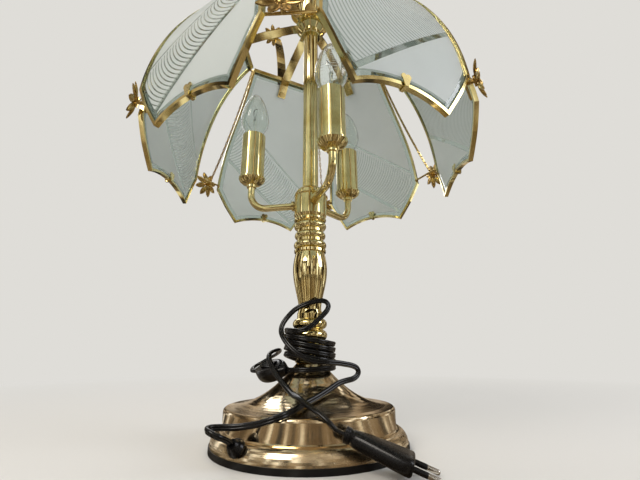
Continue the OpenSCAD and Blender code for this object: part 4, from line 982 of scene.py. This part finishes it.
# radius, height; the middle of the cap is its thread
capProfile = [(0, -25.2), (2.6, -25.2), (3.4, -24.6), (3.4, -24.0), (5.2, -23.6), (6.0, -21.5)]
capProfile += [(6.35 + 0.5 * math.cos(math.pi * k), -20.5 + 1.5 * k) for k in range(10)]
capProfile += [(6.4, -5.6), (6.9, -5.0), (6.9, -0.2), (6.3, 0), (0, 0)]
stemProfile = [(0, 0), (5.4, 0), (4.6, 1.6), (3.2, 5), (2.2, 8), (1.8, 10), (1.7, 20), (2.4, 22.3), (2.4, 23.6),
               (1.2, 25), (0, 25.4)]


# a wire of a radius along points
def wireShape(route, radius, sides=6):
    route = [Vector(p) for p in route]
    tangents = tangentsOf(route)
    side = tangents[0].orthogonal().normalized()
    points = []
    for p, t in zip(route, tangents):
        side = (side - side.dot(t) * t).normalized()
        other = t.cross(side)
        points += [p + radius * (math.cos(2 * math.pi * k / sides) * side + math.sin(2 * math.pi * k / sides) * other)
                   for k in range(sides)]
    return points, ringFaces(len(route), sides)


# two supports and an anchor that hold the coil in a low arch
def filamentShape():
    q = bulbShape
    half, top = q["filamentHalf"], q["filamentZ"]
    wires = [wireShape([(side * 1.1, 0, 22.5), (side * 1.3, 0, 26), (side * half * 0.7, 0, top - 4),
                        (side * half, 0, top)], q["supportWire"]) for side in (-1, 1)]
    wires.append(wireShape([(0, 0, 24.8), (0.2, 0.6, 32), (0, 1.6, top + 1.2), (0, 2.4, top + 0.6)], q["anchorWire"]))
    coil = []
    for k in range(241):
        t = k / 240
        a = 2 * math.pi * q["coilTurns"] * t
        bow = math.sin(math.pi * t)
        coil.append((-half + 2 * half * t, q["coilOut"] * bow + q["coilRadius"] * math.cos(a),
                     top + q["coilUp"] * bow + q["coilRadius"] * math.sin(a)))
    wires.append(wireShape(coil, q["coilWire"], 4))
    return joined(wires)


bulbPieces = (
    ("bulbCap", turned(capProfile, 48), platedNickel, 50, "nickel_cap"),
    ("bulbStem", turned(stemProfile, 32), bulbGlass, 50, "bulb_glass"),
    ("filament", filamentShape(), tungsten, 60, "nickel_cap"),
)
for number, (x, y) in enumerate(bulbSpots, 1):
    place = scale @ shift(x, y, bulbShape["z"]) @ turn(bulbShape["turn"] * number)
    for name, shape, mat, smooth, slotName in bulbPieces:
        piece = meshPiece("%s%d" % (name, number), moved(shape, place), mat, smooth)
        placeOn(piece, "bulb_%d" % number, slotName, "bulb_mount_%d" % number)
print("bulbs made")

# the material of each of the record's slots, for the CAD solids that show
finishes = {
    "lacquered_brass": lacqueredBrass, "rosette_brass": stampedBrass, "edging_brass": edgingBrass,
    "base_brass": baseBrass, "frosted_glass": panelGlass, "bulb_glass": bulbGlass, "nickel_cap": platedNickel,
    "white_plastic": whitePbt, "black_cable": cablePvc, "black_plastic": mouldedAbs, "black_rubber": grommetRubber,
    "cast_iron": rawIron, "cover_felt": greenFelt, "zinc_steel": platedZinc,
}
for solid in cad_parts.values():
    for slot in solid.material_slots:
        key = slot.material.name.split(".")[0] if slot.material else ""
        slot.material = finishes.get(key, lacqueredBrass)
print("finishes set")


# the stops of a colour ramp: its two ends, then those between them
def setStops(node, ends, between):
    elements = node.color_ramp.elements
    for k, (position, code) in enumerate(ends):
        elements[k].position, elements[k].color = position, linear(code)
    for position, code in between:
        elements.new(position).color = linear(code)


floorSettings = {
    "half": 4.0,                          # metres
    "fibres": 400.0,                      # to a metre
    "tones": ("DAD8D4", "DEDCD8"),
    "rays": 5.5,
    "fadeFrom": 0.25, "fadeTo": 1.1,      # metres from the lamp, where the paper turns into the backdrop
    "backdrop": "DFDDD8",
}
floorMat, tree, shader, coords = newMaterial("matt floor paper")
fibres = addNode(tree, "ShaderNodeTexNoise", {"Scale": floorSettings["fibres"], "Detail": 3.0}, {"Vector": coords})
oneTone, otherTone = (linear(code) for code in floorSettings["tones"])
tone = addNode(tree, "ShaderNodeMix", {"data_type": "RGBA", 6: oneTone, 7: otherTone}, {0: fibres.outputs[0]})
path = addNode(tree, "ShaderNodeLightPath")
# painted reflection: to glossy rays only, the floor's colour turns into a darker table, in rays of uneven width round
# the lamp, so the brass mirrors that and not the paper the camera sees
split = addNode(tree, "ShaderNodeSeparateXYZ", {}, {0: coords})
bearing = addNode(tree, "ShaderNodeMath", {"operation": "ARCTAN2"}, {0: split.outputs[1], 1: split.outputs[0]})
rays = addNode(tree, "ShaderNodeTexNoise",
               {"noise_dimensions": "1D", "Scale": floorSettings["rays"], "Detail": 3.0, "Roughness": 0.7},
               {"W": bearing.outputs[0]})
paintedReflectionTones = addNode(tree, "ShaderNodeValToRGB", {}, {0: rays.outputs[0]})
setStops(paintedReflectionTones, ((0.42, "14100C"), (0.62, "F2EEE6")),
         ((0.45, "5A4A38"), (0.5, "A08A6C"), (0.515, "2A2119"), (0.545, "5E4B38"), (0.565, "C9BCA6")))
# painted reflection: the colour that glossy rays see in place of the paper's tone
paintedReflectionMix = addNode(tree, "ShaderNodeMix", {"data_type": "RGBA"},
                   {0: path.outputs["Is Glossy Ray"], 6: tone.outputs[2], 7: paintedReflectionTones.outputs[0]})
tree.links.new(paintedReflectionMix.outputs[2], shader.inputs["Base Color"])
shader.inputs["Roughness"].default_value = 0.9
distance = addNode(tree, "ShaderNodeVectorMath", {"operation": "LENGTH"}, {0: coords})
far = addNode(tree, "ShaderNodeMapRange",
              {"From Min": floorSettings["fadeFrom"], "From Max": floorSettings["fadeTo"]},
              {"Value": distance.outputs["Value"]})
faded = addNode(tree, "ShaderNodeMath", {"operation": "MULTIPLY"},
                {0: far.outputs[0], 1: path.outputs["Is Camera Ray"]})
backdrop = addNode(tree, "ShaderNodeEmission", {"Color": linear(floorSettings["backdrop"]), "Strength": 1.0})
paper = addNode(tree, "ShaderNodeMixShader", {}, {0: faded.outputs[0], 1: shader.outputs[0], 2: backdrop.outputs[0]})
tree.links.new(paper.outputs[0], tree.nodes["Material Output"].inputs[0])
corners = [(x * floorSettings["half"], y * floorSettings["half"], 0) for x, y in ((-1, -1), (1, -1), (1, 1), (-1, 1))]
floor = meshPiece("floor", (corners, [[0, 1, 2, 3]]), floorMat, 0)

lampAim = Vector((0, 0, 0.3))
lampSettings = {
    "key": {"position": (-0.75, -1.0, 1.15), "size": 0.7, "power": 13.0, "colour": "FFF8EE"},
    "fill": {"position": (1.25, -0.35, 0.75), "size": 0.6, "power": 6.0, "colour": "F3F6FF"},
    "rim": {"position": (-0.3, 1.2, 1.3), "size": 0.8, "power": 6.0, "colour": "FFFFFF"},
}
for name, q in lampSettings.items():
    lamp = bpy.data.lights.new(name, "AREA")
    lamp.size = q["size"]
    lamp.energy = q["power"]
    lamp.color = linear(q["colour"])[:3]
    holder = bpy.data.objects.new(name, lamp)
    bpy.context.scene.collection.objects.link(holder)
    holder.location = q["position"]
    holder.rotation_euler = (lampAim - Vector(q["position"])).to_track_quat("-Z", "Y").to_euler()
    holder.visible_camera = False
    holder.visible_transmission = False

worldSettings = {
    "pale": "DFDDD8",                              # what the camera sees
    "ambient": 0.62, "ambientColour": "F4F3F0",    # what lights the lamp
    "bright": 1.6, "bands": 3.4,                   # what the brass mirrors
}
world = bpy.data.worlds.new("studio")
bpy.context.scene.world = world
world.use_nodes = True
tree = world.node_tree
tree.nodes.clear()
way = addNode(tree, "ShaderNodeTexCoord").outputs["Generated"]
# what the brass mirrors: upright screens of uneven width, some dark, some warm, some bright
axes = addNode(tree, "ShaderNodeSeparateXYZ", {}, {0: way})
bearing = addNode(tree, "ShaderNodeMath", {"operation": "ARCTAN2"}, {0: axes.outputs[1], 1: axes.outputs[0]})
lifted = addNode(tree, "ShaderNodeMath", {"operation": "MULTIPLY", 1: 0.35}, {0: axes.outputs[2]})
spot = addNode(tree, "ShaderNodeCombineXYZ", {}, {0: bearing.outputs[0], 1: lifted.outputs[0]})
screens = addNode(tree, "ShaderNodeTexNoise", {"Scale": worldSettings["bands"], "Detail": 2.0, "Roughness": 0.6},
                  {"Vector": spot.outputs[0]})
screenTones = addNode(tree, "ShaderNodeValToRGB", {}, {0: screens.outputs[0]})
setStops(screenTones, ((0.4, "0C0A08"), (0.61, "FFFFFF")),
         ((0.455, "2E261D"), (0.47, "8C7A62"), (0.505, "A69C8E"), (0.52, "332B22"), (0.565, "40362B"),
          (0.585, "D8D2C8")))
path = addNode(tree, "ShaderNodeLightPath")
pale = addNode(tree, "ShaderNodeBackground", {"Color": linear(worldSettings["pale"]), "Strength": 1.0})
room = addNode(tree, "ShaderNodeBackground", {"Strength": worldSettings["bright"]}, {"Color": screenTones.outputs[0]})
ambient = addNode(tree, "ShaderNodeBackground",
                  {"Color": linear(worldSettings["ambientColour"]), "Strength": worldSettings["ambient"]})
seen = addNode(tree, "ShaderNodeMath", {"operation": "MAXIMUM"},
               {0: path.outputs["Is Camera Ray"], 1: path.outputs["Is Transmission Ray"]})
lit = addNode(tree, "ShaderNodeMixShader", {},
              {0: path.outputs["Is Glossy Ray"], 1: ambient.outputs[0], 2: room.outputs[0]})
both = addNode(tree, "ShaderNodeMixShader", {}, {0: seen.outputs[0], 1: lit.outputs[0], 2: pale.outputs[0]})
addNode(tree, "ShaderNodeOutputWorld", {}, {0: both.outputs[0]})
print("stage lit")
